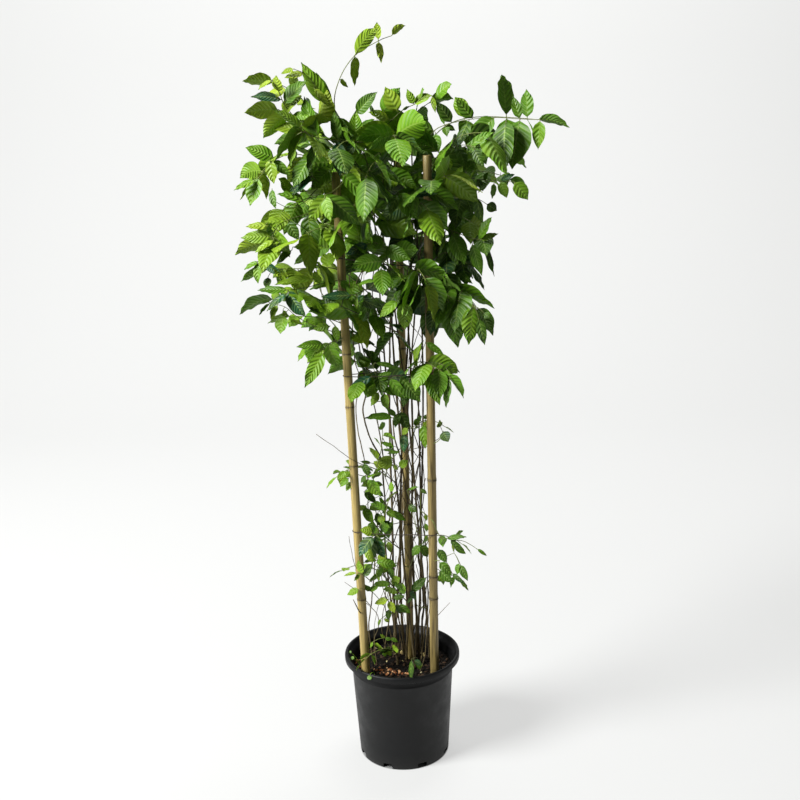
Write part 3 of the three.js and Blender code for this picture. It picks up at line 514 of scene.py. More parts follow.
def leaf_under(settings):
    """Living leaf seen from below: matt and paler, with the veins standing out."""
    made, add = material("living leaf, matt underside")
    tone = add("Attribute", attribute_name="tone").outputs["Fac"]
    greens = ((0, paint("#38571F")), (0.5, settings.under), (1, paint("#97AC46")))
    # The tone carries painted light and shade here as on the upper side
    green = add("ValToRGB", {"Fac": tone}, greens)
    blade = add("SeparateXYZ", {"Vector": add("UVMap", uv_map="blade")}).outputs
    half_way = add("Math", {0: blade["Y"], 1: 0.5}, operation="PINGPONG")
    side_vein = add("MapRange", {"Value": half_way, **from_to(0.03, 0.12, 0.6, 0)})
    skin = add("Mix", {"Factor": side_vein, 6: green, 7: paint("#93AA5A")}, data_type="RGBA")
    matt = add("BsdfPrincipled", {
        "Base Color": skin, "Roughness": 0.7, "IOR": 1.42, "Specular IOR Level": 0.2,
    })
    through = add("BsdfTranslucent", {"Color": skin})
    both = add("MixShader", {0: SHINE_THROUGH, 1: matt, 2: through})
    add("OutputMaterial", {"Surface": both})
    return made


def young_skin(settings):
    """Thin bark of a green shoot, satin and finely streaked: brown where it is old, green where it is new."""
    made, add = material("young stem, thin green bark")
    tone = add("Attribute", attribute_name="tone").outputs["Fac"]
    place = add("TexCoord").outputs["Object"]
    streak = add("TexNoise", {"Vector": place, "Scale": 1 / (5 * MM), "Detail": 3})
    skin = add("ValToRGB", {"Fac": tone}, ((0, settings.bark), (0.45, settings.young), (1, paint("#8FA048"))))
    shade = add("MapRange", {"Value": streak, **from_to(0.3, 0.7, 0, 0.4)})
    worn = add("Mix", {"Factor": shade, 6: skin, 7: paint("#4A3A26")}, data_type="RGBA")
    bump = add("Bump", {"Height": streak, "Strength": 0.3, "Distance": 0.3 * MM})
    bark = add("BsdfPrincipled", {"Base Color": worn, "Roughness": 0.55, "IOR": 1.45, "Normal": bump})
    add("OutputMaterial", {"Surface": bark})
    return made


def old_bark(settings):
    """Thin woody bark, rough and dull: fine ridges along the stem, about 2 mm apart, and pale flakes."""
    made, add = material("woody stem, ridged bark")
    place = add("TexCoord").outputs["Object"]
    long_grain = add("Mapping", {"Vector": place, "Scale": (1, 1, 0.12)})
    ridge = add("TexNoise", {"Vector": long_grain, "Scale": 1 / (2.2 * MM), "Detail": 4, "Roughness": 0.6})
    flake = add("TexNoise", {"Vector": place, "Scale": 1 / (30 * MM), "Detail": 4})
    browns = ((0, paint("#241E12")), (0.45, settings.bark), (1, settings.pale_bark))
    skin = add("ValToRGB", {"Fac": ridge}, browns)
    pale = add("MapRange", {"Value": flake, **from_to(0.52, 0.66, 0, 0.45)})
    worn = add("Mix", {"Factor": pale, 6: skin, 7: settings.pale_bark}, data_type="RGBA")
    bump = add("Bump", {"Height": ridge, "Strength": 0.7, "Distance": 0.6 * MM})
    bark = add("BsdfPrincipled", {"Base Color": worn, "Roughness": 0.8, "IOR": 1.45, "Normal": bump})
    add("OutputMaterial", {"Surface": bark})
    return made


def bamboo_skin(settings):
    """Dry bamboo: a hard satin skin with long brown streaks and dark joints."""
    made, add = material("bamboo cane, dry satin skin")
    place = add("TexCoord").outputs["Object"]
    long_grain = add("Mapping", {"Vector": place, "Scale": (1, 1, 0.03)})
    fibre = add("TexNoise", {"Vector": long_grain, "Scale": 1 / (2.5 * MM), "Detail": 4})
    patch = add("TexNoise", {"Vector": long_grain, "Scale": 1 / (14 * MM), "Detail": 5})
    both = add("Math", {0: fibre, 1: patch}, operation="ADD")
    joint = add("Attribute", attribute_name="joint").outputs["Fac"]
    soiled = add("Math", {0: both, 1: joint}, operation="ADD")
    dirt = add("MapRange", {"Value": soiled, **from_to(0.85, 1.4, 0, 0.9)})
    skin = add("Mix", {"Factor": dirt, 6: settings.skin, 7: settings.dark_skin}, data_type="RGBA")
    bump = add("Bump", {"Height": fibre, "Strength": 0.3, "Distance": 0.3 * MM})
    hard = add("BsdfPrincipled", {"Base Color": skin, "Roughness": 0.5, "IOR": 1.5, "Normal": bump})
    add("OutputMaterial", {"Surface": hard})
    return made


def twine_fibre(settings):
    """Soft two-ply twine: matt fibres whose twist repeats every 5 mm."""
    made, add = material("garden twine, twisted fibre")
    round_and_along = add("SeparateXYZ", {"Vector": add("UVMap", uv_map="twist")}).outputs
    turned = add("Math", {0: round_and_along["X"], 1: round_and_along["Y"]}, operation="ADD")
    ply = add("Math", {0: turned, 1: 0.5}, operation="PINGPONG")
    browns = ((0, paint("#2A231C")), (0.25, settings.fibre), (1, paint("#7A6E5C")))
    skin = add("ValToRGB", {"Fac": ply}, browns)
    bump = add("Bump", {"Height": ply, "Strength": 0.8, "Distance": 0.6 * MM})
    soft = add("BsdfPrincipled", {"Base Color": skin, "Roughness": 0.9, "IOR": 1.5, "Normal": bump})
    add("OutputMaterial", {"Surface": soft})
    return made


def pot_plastic(settings):
    """Moulded polypropylene: matt black, with fine grain, scuffs and dry dust near the foot."""
    made, add = material("moulded polypropylene, matt black")
    place = add("TexCoord").outputs["Object"]
    grain = add("TexNoise", {"Vector": place, "Scale": 1 / (1.6 * MM), "Detail": 2})
    scuff = add("TexNoise", {"Vector": place, "Scale": 1 / (45 * MM), "Detail": 6, "Roughness": 0.65})
    dust = add("MapRange", {"Value": scuff, **from_to(0.48, 0.72, 0, 0.35)})
    height = add("SeparateXYZ", {"Vector": place}).outputs["Z"]
    splash = add("MapRange", {"Value": height, **from_to(0, 45 * MM, 0.45, 0)})
    dusty = add("Math", {0: dust, 1: splash}, operation="ADD", use_clamp=True)
    skin = add("Mix", {"Factor": dusty, 6: settings.plastic, 7: paint("#232321")}, data_type="RGBA")
    gloss = add("MapRange", {"Value": scuff, **from_to(0.35, 0.7, 0.42, 0.62)})
    bump = add("Bump", {"Height": grain, "Strength": 0.15, "Distance": 0.2 * MM})
    plastic = add("BsdfPrincipled", {
        "Base Color": skin, "Roughness": gloss, "IOR": 1.49, "Specular IOR Level": 0.24, "Normal": bump,
    })
    add("OutputMaterial", {"Surface": plastic})
    return made


def damp_bark(settings):
    """Composted bark: dark, damp crumbs of about 3 to 10 mm."""
    made, add = material("bark mix, damp crumbs")
    place = add("TexCoord").outputs["Object"]
    crumb = add("TexVoronoi", {"Vector": place, "Scale": 1 / (7 * MM)})
    fine = add("TexNoise", {"Vector": place, "Scale": 1 / (4 * MM), "Detail": 5})
    browns = ((0, paint("#080605")), (0.5, settings.bark), (1, paint("#1F1710")))
    skin = add("ValToRGB", {"Fac": fine}, browns)
    bump = add("Bump", {"Height": crumb, "Strength": 1, "Distance": 3 * MM})
    earth = add("BsdfPrincipled", {
        "Base Color": skin, "Roughness": 0.9, "IOR": 1.45, "Specular IOR Level": 0.15, "Normal": bump,
    })
    add("OutputMaterial", {"Surface": earth})
    return made


def loose_bits(name, low, middle, high, roughness):
    """Small dry things on the mix: dull and grainy, each with a shade of its own."""
    made, add = material(name)
    tone = add("Attribute", attribute_name="tone").outputs["Fac"]
    place = add("TexCoord").outputs["Object"]
    grain = add("TexNoise", {"Vector": place, "Scale": 1 / (2.5 * MM), "Detail": 4})
    spread = add("MapRange", {"Value": grain, **from_to(0.3, 0.7, -0.2, 0.2)})
    both = add("Math", {0: tone, 1: spread}, operation="ADD", use_clamp=True)
    skin = add("ValToRGB", {"Fac": both}, ((0, paint(low)), (0.5, middle), (1, paint(high))))
    bump = add("Bump", {"Height": grain, "Strength": 0.6, "Distance": 0.8 * MM})
    dry = add("BsdfPrincipled", {
        "Base Color": skin, "Roughness": roughness, "IOR": 1.45, "Specular IOR Level": 0.2, "Normal": bump,
    })
    add("OutputMaterial", {"Surface": dry})
    return made


# Pot and mix


# The pot's profile from the middle of its underside over the rim to the middle of its floor, as millimetres
# outwards from one of its radii and upwards from one of its heights
POT_PROFILE = (
    ("middle", 0, "ground", 1.2), ("foot", -14, "ground", 1.2), ("foot", -12, "ground", 0),
    ("foot", -2.5, "ground", 0), ("foot", -0.8, "ground", 0.8), ("foot", 0, "ground", 2.6),
    ("foot", 0.8, "ground", 14), ("foot", 1.2, "ground", 20), ("neck", -2.4, "skirt", -26),
    ("neck", -1.2, "skirt", -24.4), ("neck", -1.1, "skirt", -22), ("neck", -2.0, "skirt", -20.4),
    ("neck", -0.6, "skirt", -2), ("neck", 1, "skirt", 0.8), ("rim", -4, "skirt", 0.4),
    ("rim", -1.6, "skirt", 0), ("rim", -0.4, "skirt", 0.8), ("rim", 0, "skirt", 2.6), ("rim", 0, "top", -4),
    ("rim", -0.7, "top", -1.6), ("rim", -2.2, "top", -0.3), ("rim", -4.2, "top", 0),
    ("rim", -6.4, "top", -0.5), ("rim", -7.8, "top", -1.8), ("rim", -8.6, "top", -4),
    ("inside", 4.5, "top", -12),
    ("inside", 0.6, "top", -17), ("inside", 0, "top", -20), ("inside foot", 0, "ground", 24),
    ("inside foot", -1, "ground", 5), ("middle", 0, "ground", 4),
)
POT_STEPS = 120  # faces round the pot
NOTCHES = 8
NOTCH_SIZE = (44, 25, 28)  # millimetres outwards, along the foot and up; its lower half hangs below the foot
NOTCH_ROUND = 3 * MM


class CREEPER_OT_pot(bpy.types.Operator):
    """Spins the nursery pot and cuts the drainage notches round its foot"""

    bl_idname = "creeper.pot"
    bl_label = "Nursery pot"

    def execute(self, context):
        s = context.scene.creeper_pot
        radii = {
            "middle": 0.0, "foot": s.foot_radius, "neck": s.neck_radius, "rim": s.rim_radius,
            "inside": s.neck_radius - s.wall, "inside foot": s.foot_radius - s.wall,
        }
        heights = {"ground": 0.0, "skirt": s.height - s.rim_height, "top": s.height}
        bm = bmesh.new()
        line = [
            bm.verts.new((radii[edge] + out * MM, 0, heights[level] + up * MM))
            for edge, out, level, up in POT_PROFILE
        ]
        edges = [bm.edges.new(pair) for pair in zip(line, line[1:])]
        bmesh.ops.spin(
            bm, geom=line + edges, axis=(0, 0, 1), cent=(0, 0, 0), angle=2 * math.pi, steps=POT_STEPS,
            use_merge=True, use_duplicate=False,
        )
        bmesh.ops.remove_doubles(bm, verts=bm.verts, dist=WELD)
        bmesh.ops.recalc_face_normals(bm, faces=bm.faces)
        pot = piece("nursery_pot", bm, [pot_plastic(s)], ["pot"])
        cutter = bmesh.new()
        stretch = Matrix.Diagonal((*(side * MM for side in NOTCH_SIZE), 1))
        for i in range(NOTCHES):
            block = bmesh.ops.create_cube(cutter, size=1, matrix=stretch)["verts"]
            bmesh.ops.translate(cutter, verts=block, vec=(s.foot_radius, 0, 0))
            turn = Matrix.Rotation((i + 0.5) * 2 * math.pi / NOTCHES, 4, "Z")
            bmesh.ops.transform(cutter, verts=block, matrix=turn)
        outward = [e for e in cutter.edges if e.calc_length() > 0.9 * NOTCH_SIZE[0] * MM]
        bmesh.ops.bevel(
            cutter, geom=outward, offset=NOTCH_ROUND, segments=2, profile=0.5, affect="EDGES", material=-1
        )
        tool = put_in_scene("notches", mesh_of("notches", cutter))
        cut = pot.modifiers.new("notches", "BOOLEAN")
        cut.operation, cut.solver, cut.object = "DIFFERENCE", "EXACT", tool
        evaluated = pot.evaluated_get(context.evaluated_depsgraph_get())
        result = bpy.data.meshes.new_from_object(evaluated)
        pot.modifiers.clear()
        old = pot.data
        pot.data = result
        result.name = "nursery_pot"
        bpy.data.meshes.remove(old)
        bpy.data.objects.remove(tool)
        keep_crisp(pot)
        return {"FINISHED"}


MIX_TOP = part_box("growing_mix")[1].z
MIX_RADIUS = 129 * MM
MIX_EYE = 4 * MM  # radius of the mound's innermost ring
MIX_RINGS, MIX_SIDES = 34, 96
MIX_LUMPS = ((26 * MM, 3.2), (9 * MM, 1.6))  # how wide and, in millimetres, how high its crumbs are
MIX_CROWN = 5 * MM  # how far its middle lies under its highest crumb, and its edge under its middle
MIX_BELOW = ((200, 128.6), (40, 119.5), (12, 112))  # under its surface: height and radius in millimetres


def mix_height(x, y):
    """The height of the bark mix: a low crown with crumbs."""
    out = math.hypot(x, y) / MIX_RADIUS
    lump = sum(noise.noise(Vector((x, y, i)) / wide) * high * MM for i, (wide, high) in enumerate(MIX_LUMPS))
    return MIX_TOP - MIX_CROWN - MIX_CROWN * out**2 + lump * (1 - out**8)


class CREEPER_OT_mix(bpy.types.Operator):
    """Lays the bark mix in the pot as a low, crumbly mound"""

    bl_idname = "creeper.mix"
    bl_label = "Bark mix"

    def execute(self, context):
        bm = bmesh.new()
        ring = bmesh.ops.create_circle(bm, segments=MIX_SIDES, radius=MIX_EYE, cap_ends=True)["verts"]
        for i in range(1, MIX_RINGS + 1):
            ring = draw_out(bm, ring)
            reach = MIX_EYE + (MIX_RADIUS - MIX_EYE) * i / MIX_RINGS
            for corner in ring:
                corner.co = corner.co.normalized() * reach
        for corner in bm.verts:
            corner.co.z = mix_height(corner.co.x, corner.co.y)
        for height, radius in MIX_BELOW:
            ring = draw_out(bm, ring)
            for corner in ring:
                corner.co.z = 0
                corner.co = corner.co.normalized() * radius * MM
                corner.co.z = height * MM
        bmesh.ops.contextual_create(bm, geom=ring)
        bmesh.ops.recalc_face_normals(bm, faces=bm.faces)
        piece("bark_mix_mound", bm, [damp_bark(context.scene.creeper_mix)], ["growing_mix"])
        return {"FINISHED"}


# Loose crumbs on the mix; sizes are shares of a crumb's width where no unit is named
CHIPPED = (0.78, 1.1)  # how far each corner stands out
NARROW = (0.45, 0.9)  # the shorter side
TIPPED = 0.5  # radians to either side
ANY_TURN = (0, 6.3)  # radians
CHIP_MARGIN, SPOT_MARGIN = 7 * MM, 6 * MM  # how far crumbs keep from the edge of the mix
SCRAPS, DRY_LEAVES = 14, 24

# Where the photograph shows clay pebbles and dry scraps on the mix, in pixels
PEBBLE_SPOTS = ((356, 661), (361, 667), (379, 670), (384, 671), (389, 672), (394, 674), (402, 674))
SCRAP_SPOTS = ((395, 653), (402, 652), (405, 653), (423, 654))
SPOT_LEVEL = MIX_TOP / MM - 6


def scatter(name, count, size, flatness, finish, seed, place):
    """Strews small lumps over the mix, each one squashed, turned and chipped in its own way."""
    draw = random.Random(seed)
    bm = bmesh.new()
    tone = bm.verts.layers.float.new("tone")
    for _ in range(count):
        x, y = place(draw)
        across = draw.uniform(*size) * MM
        lump = bmesh.ops.create_icosphere(bm, subdivisions=1, radius=0.5)["verts"]
        shade = draw.random()
        for v in lump:
            v.co *= draw.uniform(*CHIPPED)
            v[tone] = shade
        stretch = (across, across * draw.uniform(*NARROW), across * draw.uniform(*flatness), 1)
        bmesh.ops.transform(bm, verts=lump, matrix=Matrix.Diagonal(stretch))
        tip = Matrix.Rotation(draw.uniform(-TIPPED, TIPPED), 4, "X")
        tip = tip @ Matrix.Rotation(draw.uniform(-TIPPED, TIPPED), 4, "Y")
        bmesh.ops.transform(bm, verts=lump, matrix=Matrix.Rotation(draw.uniform(*ANY_TURN), 4, "Z") @ tip)
        bmesh.ops.translate(bm, verts=lump, vec=(x, y, mix_height(x, y) + stretch[2] * 0.25))
    return piece(name, bm, [finish], smooth=False)


def anywhere(draw):
    """A place on the mix."""
    angle, reach = draw.uniform(0, 2 * math.pi), math.sqrt(draw.random()) * (MIX_RADIUS - CHIP_MARGIN)
    return math.cos(angle) * reach, math.sin(angle) * reach


def near_spot(spots, spread):
    """A way to place things close to pixels of the photograph, within a spread in millimetres."""
    def place(draw):
        spot = on_level(*draw.choice(spots), SPOT_LEVEL)
        x, y = spot.x + draw.gauss(0, spread) * MM, spot.y + draw.gauss(0, spread) * MM
        inside = min(1.0, (MIX_RADIUS - SPOT_MARGIN) / math.hypot(x, y))
        return x * inside, y * inside
    return place


class CREEPER_OT_litter(bpy.types.Operator):
    """Strews bark chips, clay pebbles and dry scraps over the mix"""

    bl_idname = "creeper.litter"
    bl_label = "Bark chips and pebbles"

    def execute(self, context):
        s = context.scene.creeper_mix
        chips = loose_bits("pine bark chips, dry", "#0B0806", s.chip, "#3E2E20", 0.85)
        stones = loose_bits("fired clay pebbles", "#5A3420", s.stone, "#CFA77A", 0.8)
        scraps = loose_bits("dry leaf scraps", "#8F7B4E", s.scrap, "#E2D5AE", 0.85)
        scatter("bark_chips", s.chips, (5, 17), (0.25, 0.5), chips, 3, anywhere)
        scatter("clay_pebbles", s.stones, (6, 12), (0.6, 0.9), stones, 5, near_spot(PEBBLE_SPOTS, 9))
        scatter("dry_scraps", SCRAPS, (6, 13), (0.08, 0.2), scraps, 8, anywhere)
        scatter("dry_leaves", DRY_LEAVES, (10, 19), (0.25, 0.5), scraps, 9, near_spot(SCRAP_SPOTS, 4))
        return {"FINISHED"}


# Canes and ties


JOINT_SHOWS = 0.8 * MM  # a corner that stands out further than this belongs to a joint


def cane_shape(name):
    """The foot, top, end radii and joints of a CAD cane."""
    bm = welded(name)
    corners = [v.co.copy() for v in bm.verts]
    bm.free()
    low, high = min(c.z for c in corners), max(c.z for c in corners)
    ends = [[c for c in corners if abs(c.z - z) < MM] for z in (low, high)]
    foot, top = (sum(end, Vector()) / len(end) for end in ends)
    radii = [max((c - middle).length for c in end) for end, middle in zip(ends, (foot, top))]
    axis = (top - foot).normalized()
    joints = []
    for c in corners:
        along = (c - foot).dot(axis)
        plain = radii[0] + (radii[1] - radii[0]) * along / (top - foot).length
        out = (c - foot - axis * along).length
        if out > plain + JOINT_SHOWS and all(abs(along - j) > MM for j in joints):
            joints.append(along)
    return foot, top, radii, sorted(joints)


CANE_AGE = {"cane_left": 0.04, "cane_right": 0.16, "cane_back": 0.0}  # how weathered each cane is
CANES = {name: cane_shape(name) for name in CANE_AGE}
CANE_SEED = 40
# Profiles of a cane in millimetres: place along it and swell
CANE_FOOT, CANE_TOP = ((0.0, -0.4), (1.0, 0.0)), ((-0.8, 0.0), (0.0, -0.5))
CANE_JOINT = (
    (-26, 0), (-12, 0.15), (-5, 0.5), (-2.6, 1.15), (-1.2, 1.3), (-0.2, 0.25), (0.6, 0.2), (1.6, 1.0),
    (3.2, 0.85), (7, 0.25), (16, -0.1), (34, 0),
)
CANE_PLAIN = 60  # millimetres from one uneven place to the next, between the joints
CANE_UNEVEN = (-0.15, 0.1)
CANE_HOLLOW = ((0.62, 0), (0.55, 1), (0.5, 14))  # inside its cut top: share of its radius, millimetres down
JOINT_STAIN, STAIN_REACH = 0.45, 9 * MM


def cane_at(name, height):
    """The middle and radius of a cane at a height."""
    foot, top, radii, _ = CANES[name]
    share = (height - foot.z) / (top.z - foot.z)
    return foot.lerp(top, share), radii[0] + (radii[1] - radii[0]) * share


class CREEPER_OT_canes(bpy.types.Operator):
    """Makes the three bamboo canes with their joints and hollow cut ends"""

    bl_idname = "creeper.canes"
    bl_label = "Bamboo canes"

    def execute(self, context):
        s = context.scene.creeper_canes
        skin = bamboo_skin(s)
        rise = s.ring_rise / (JOINT_RISE * MM)
        for seed, (name, (foot, top, radii, joints)) in enumerate(CANES.items()):
            draw = random.Random(CANE_SEED + seed)
            axis = (top - foot).normalized()
            whole = (top - foot).length
            marks = list(CANE_FOOT)
            for joint in joints:
                marks += [(joint / MM + step, swell * rise) for step, swell in CANE_JOINT]
            for plain in range(CANE_PLAIN, int(whole / MM) - 30, CANE_PLAIN):
                if all(abs(plain - at) > 14 for at, _ in marks):
                    marks.append((plain, draw.uniform(*CANE_UNEVEN)))
            marks += [(whole / MM + step, swell) for step, swell in CANE_TOP]
            marks.sort()
            bm = bmesh.new()
            stain = bm.verts.layers.float.new("joint")
            points = [foot + axis * at * MM for at, _ in marks]
            plain = [radii[0] + (radii[1] - radii[0]) * at * MM / whole for at, _ in marks]
            sizes = [r + swell * MM for r, (_, swell) in zip(plain, marks)]
            points += [top - axis * depth * MM for _, depth in CANE_HOLLOW]
            sizes += [radii[1] * size for size, _ in CANE_HOLLOW]
            tube(bm, points, sizes, 20, heading=axis)
            for v in bm.verts:
                along = (v.co - foot).dot(axis)
                near = min(abs(along - joint) for joint in joints)
                v[stain] = CANE_AGE[name] + max(0.0, JOINT_STAIN - near / STAIN_REACH)
            made = piece(name.replace("cane", "bamboo_cane"), bm, [skin], [name])
            keep_crisp(made, 60)
        return {"FINISHED"}


# The heights in millimetres at which each tie lies on the left, the right and the back cane
TIE_HEIGHTS = {"tie_low": (640, 627, 622), "tie_middle": (1039, 1042, 1030), "tie_top": (1322, 1294, 1285)}
TIE_STEP = 9 * MM
TIE_SAG = 0.02  # how far twine hangs through between two canes, as a share of its length
BEND_STEPS = 8  # round a cane
TWIST_PITCH = 5 * MM
KNOT_END = ((4, -4, -2), (9, -5, -9))  # millimetres to the side, back and up from the knot
KNOT_END_OUT, KNOT_END_DOWN = (9, 16), (18, 26)
KNOT_TILTS = (0.5, 1.6, 2.7)  # radians
KNOT_STEPS, KNOT_WIDE, KNOT_HIGH = 8, 2.1, 2.4


def square_to(start, end, centre):
    """The angle in plan that is square to a run and points away from the centre."""
    run = end - start
    square = Vector((run.y, -run.x))
    if square.dot((start - centre).xy) < 0:
        square.negate()
    return math.atan2(square.y, square.x)


def tie_line(heights, twine):
    """The loop of a tie round the outsides of the three canes, from its knot to its knot."""
    spots = [cane_at(name, height * MM) for name, height in zip(CANES, heights)]
    order = [spots[1], spots[2], spots[0]]
    centre = sum((middle for middle, _ in spots), Vector()) / 3
    line = []
    for i, (middle, radius) in enumerate(order):
        start = square_to(order[i - 1][0], middle, centre)
        end = square_to(middle, order[(i + 1) % 3][0], centre)
        while end < start:
            end += 2 * math.pi
        for step in range(BEND_STEPS + 1):
            angle = start + (end - start) * step / BEND_STEPS
            line.append(middle + Vector((math.cos(angle), math.sin(angle), 0)) * (radius + twine))
    return line


class CREEPER_OT_ties(bpy.types.Operator):
    """Ties twine round the three canes at three heights, each with its knot and loose ends"""

    bl_idname = "creeper.ties"
    bl_label = "Twine ties"

    def execute(self, context):
        s = context.scene.creeper_ties
        fibre = twine_fibre(s)
        for name, heights in TIE_HEIGHTS.items():
            draw = random.Random(name)
            corners = tie_line(heights, s.radius)
            knot = corners[-1].lerp(corners[0], 0.8)
            loop = [knot, *corners, knot.lerp(corners[-1], 0.02)]
            line = []
            for a, b in zip(loop, loop[1:]):
                steps = max(1, round((b - a).length / TIE_STEP))
                sag = Vector((0, 0, -TIE_SAG * (b - a).length))
                line += [a.lerp(b, k / steps) + sag * 4 * (k / steps) * (1 - k / steps) for k in range(steps)]
            line.append(loop[-1])
            bm = bmesh.new()
            tube(bm, line, [s.radius] * len(line), 7)
            for side in (-1, 1):
                end = [knot, *(knot + Vector((side * out, back, up)) * MM for out, back, up in KNOT_END)]
                out, down = draw.uniform(*KNOT_END_OUT), draw.uniform(*KNOT_END_DOWN)
                end.append(knot + Vector((side * out, -4, -down)) * MM)
                end = smooth_line(end, 4)
                tube(bm, end, [s.radius * 0.85] * len(end), 7)
            for tilt in KNOT_TILTS:
                turns = []
                for k in range(KNOT_STEPS + 1):
                    angle = 2 * math.pi * k / KNOT_STEPS
                    spot = Vector((math.cos(angle) * KNOT_WIDE, 0, math.sin(angle) * KNOT_HIGH)) * MM
                    turns.append(knot + Matrix.Rotation(tilt, 3, "Z") @ spot)
                tube(bm, turns, [s.radius * 0.95] * len(turns), 6)
            lay_twist(bm, s.radius)
            piece("twine_" + name, bm, [fibre], [name])
        return {"FINISHED"}


def lay_twist(bm, radius):
    """Gives each face of a round rod its place round the rod and along it, for the twist of the plies."""
    layer = bm.loops.layers.uv.new("twist")
    for face in bm.faces:
        for loop in face.loops:
            at = loop.vert.co
            loop[layer].uv = (at.z / (2 * radius), (at.x + at.y) / TWIST_PITCH)


# Stems, shoots and leaves


STEMS = {name: read_stem(name) for name in sorted(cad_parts) if name.startswith("woody_stem")}
STEM_POINTS = [point for centres, _ in STEMS.values() for point in smooth_line(centres, 24)]
SHOOTS = {name: read_shoot(name) for name in sorted(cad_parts) if name.startswith("shoot_")}
STEM_FOOT = 1.05  # a woody stem's thickness at its foot, as a share of the CAD's
KNUCKLE, EVERY_KNUCKLE, STEM_UNEVEN = 0.16, 5, 0.06


class CREEPER_OT_stems(bpy.types.Operator):
    """Makes the old woody stems that climb round the back cane"""

    bl_idname = "creeper.stems"
    bl_label = "Woody stems"

    def execute(self, context):
        s = context.scene.creeper_stems
        bark = old_bark(s)
        for name, (centres, radius) in STEMS.items():
            draw = random.Random(name)
            line = smooth_line(centres, 6)
            sizes = []
            for i in range(len(line)):
                taper = STEM_FOOT - (STEM_FOOT - s.top_share) * (i / (len(line) - 1)) ** 1.4
                knuckle = 0.0 if i % EVERY_KNUCKLE else KNUCKLE
                sizes.append(radius * taper * (1 + knuckle + draw.uniform(-STEM_UNEVEN, STEM_UNEVEN)))
            bm = bmesh.new()
            tube(bm, line, sizes, 9, bumps=lambda i, angle: 1 + 0.07 * math.sin(3 * angle + i * 0.7))
            piece(name.replace("woody_stem", "barked_stem"), bm, [bark], [name])
        return {"FINISHED"}


# How a blade is shaped; places on its midrib run from 0 at its start to 1 at its tip
LARGE_BLADE = 70 * MM
FINE_GRID, PLAIN_GRID = (8, 8), (5, 6)  # side veins and columns of a large and of a small blade
ROWS_PER_VEIN = 3  # rows of a blade's grid from one side vein to the next
FULL_BLADE = 110 * MM  # a blade of this length has the relief and wave of the settings
WAVE_BEATS, CURL, DIP = (1.6, 3.2), (-0.08, 0.3), (-0.06, 0.06)
BLADE_START = 0.035
VEIN_LEAN = 0.32  # how far a side vein runs on towards the tip
VEIN_SINK, PILLOW_RISE = -0.62, 0.38
EDGE_PALE = 0.05  # how much yellower the edge is
STALK = ((0.0, 0.95), (0.02, 0.8), (0.045, 0.7), (0.085, 0.6), (0.16, 0.3))  # place on the midrib, thickness
STALK_PALE = 0.25
BLADE_WELD = 0.02 * MM


def along_midrib(leaf, t):
    """The point of a leaf's midrib at a place, and the direction of the midrib there."""
    base, bend, tip = leaf["base"], leaf["bend"], leaf["tip"]
    point = base * (1 - t) ** 2 + bend * 2 * t * (1 - t) + tip * t**2
    return point, ((bend - base) * (1 - t) + (tip - bend) * t).normalized()


def across_leaf(leaf, t):
    """The direction across a blade at a place of its midrib, and how far it is folded up there."""
    sections = leaf["sections"]
    if t <= sections[0][0]:
        return sections[0][1], sections[0][3]
    for near, far in zip(sections, sections[1:]):
        if t <= far[0]:
            share = (t - near[0]) / (far[0] - near[0])
            return near[1].lerp(far[1], share).normalized(), near[3] + (far[3] - near[3]) * share
    return sections[-1][1], sections[-1][3]


def add_leaf(bm, layers, leaf, tone, draw, settings):
    """Shapes one leaf out of a grid whose rows run along its side veins."""
    span = (leaf["bend"] - leaf["base"]).length + (leaf["tip"] - leaf["bend"]).length
    veins, columns = FINE_GRID if span > LARGE_BLADE else PLAIN_GRID
    rows = ROWS_PER_VEIN * (veins + 1)
    half = max(section[2] / value_at(OUTLINE, section[0]) for section in leaf["sections"])
    size = span / FULL_BLADE
    relief, wave = settings.relief * min(1.2, size + 0.15), settings.wave * size
    beats, phase = draw.uniform(*WAVE_BEATS), (draw.uniform(*ANY_TURN), draw.uniform(*ANY_TURN))
    curl, dip = draw.uniform(*CURL), draw.uniform(*DIP)
    corners = bmesh.ops.create_grid(bm, x_segments=columns, y_segments=rows, size=1)["verts"]
    faces = list(dict.fromkeys(f for v in corners for f in v.link_faces))
    for f in faces:
        for loop in f.loops:
            at = loop.vert.co
            loop[layers["blade"]].uv = (at.x / 2 + 0.5, (at.y + 1) / 2 * (veins + 1))
        f.material_index = 1
        f.smooth = True
    for v in corners:
        u, row = v.co.x, (v.co.y + 1) / 2
        lean = VEIN_LEAN * math.sin(math.pi * row) ** 0.7 * abs(u) ** 1.2
        t = BLADE_START + (1 - BLADE_START) * row
        t = 1.0 if row >= 0.999 else min(1.0, t + lean * (1 - row * 0.55))
        point, ahead = along_midrib(leaf, t)
        side, fold = across_leaf(leaf, t)
        side = (side - ahead * side.dot(ahead)).normalized()
        normal = side.cross(ahead)
        width = half * value_at(OUTLINE, t)
        body = math.sin(math.pi * min(1.0, max(0.0, row))) ** 0.6
        sunk = PILLOW_RISE if round(row * rows) % ROWS_PER_VEIN else VEIN_SINK
        puff = sunk * relief * body * min(1.0, abs(u) * 3) * (1 - 0.7 * abs(u) ** 3)
        ripple = wave * abs(u) ** 2.2 * body * math.sin(beats * 2 * math.pi * row + phase[0 if u < 0 else 1])
        lift = width * (fold * abs(u) - curl * u * u + dip * u)
        v.co = point + side * (u * width) + normal * (lift + puff + ripple)
        v[layers["tone"]] = min(1.0, max(0.0, tone + (EDGE_PALE if abs(u) > 0.9 else 0.0)))
    line = [along_midrib(leaf, t)[0] for t, _ in STALK]
    line[0] -= along_midrib(leaf, 0.0)[1] * 0.8 * MM
    thick = (0.9 + 0.5 * size) * MM
    for v in tube(bm, line, [thick * share for _, share in STALK], 5):
        v[layers["tone"]] = min(1.0, tone + STALK_PALE)
    return faces


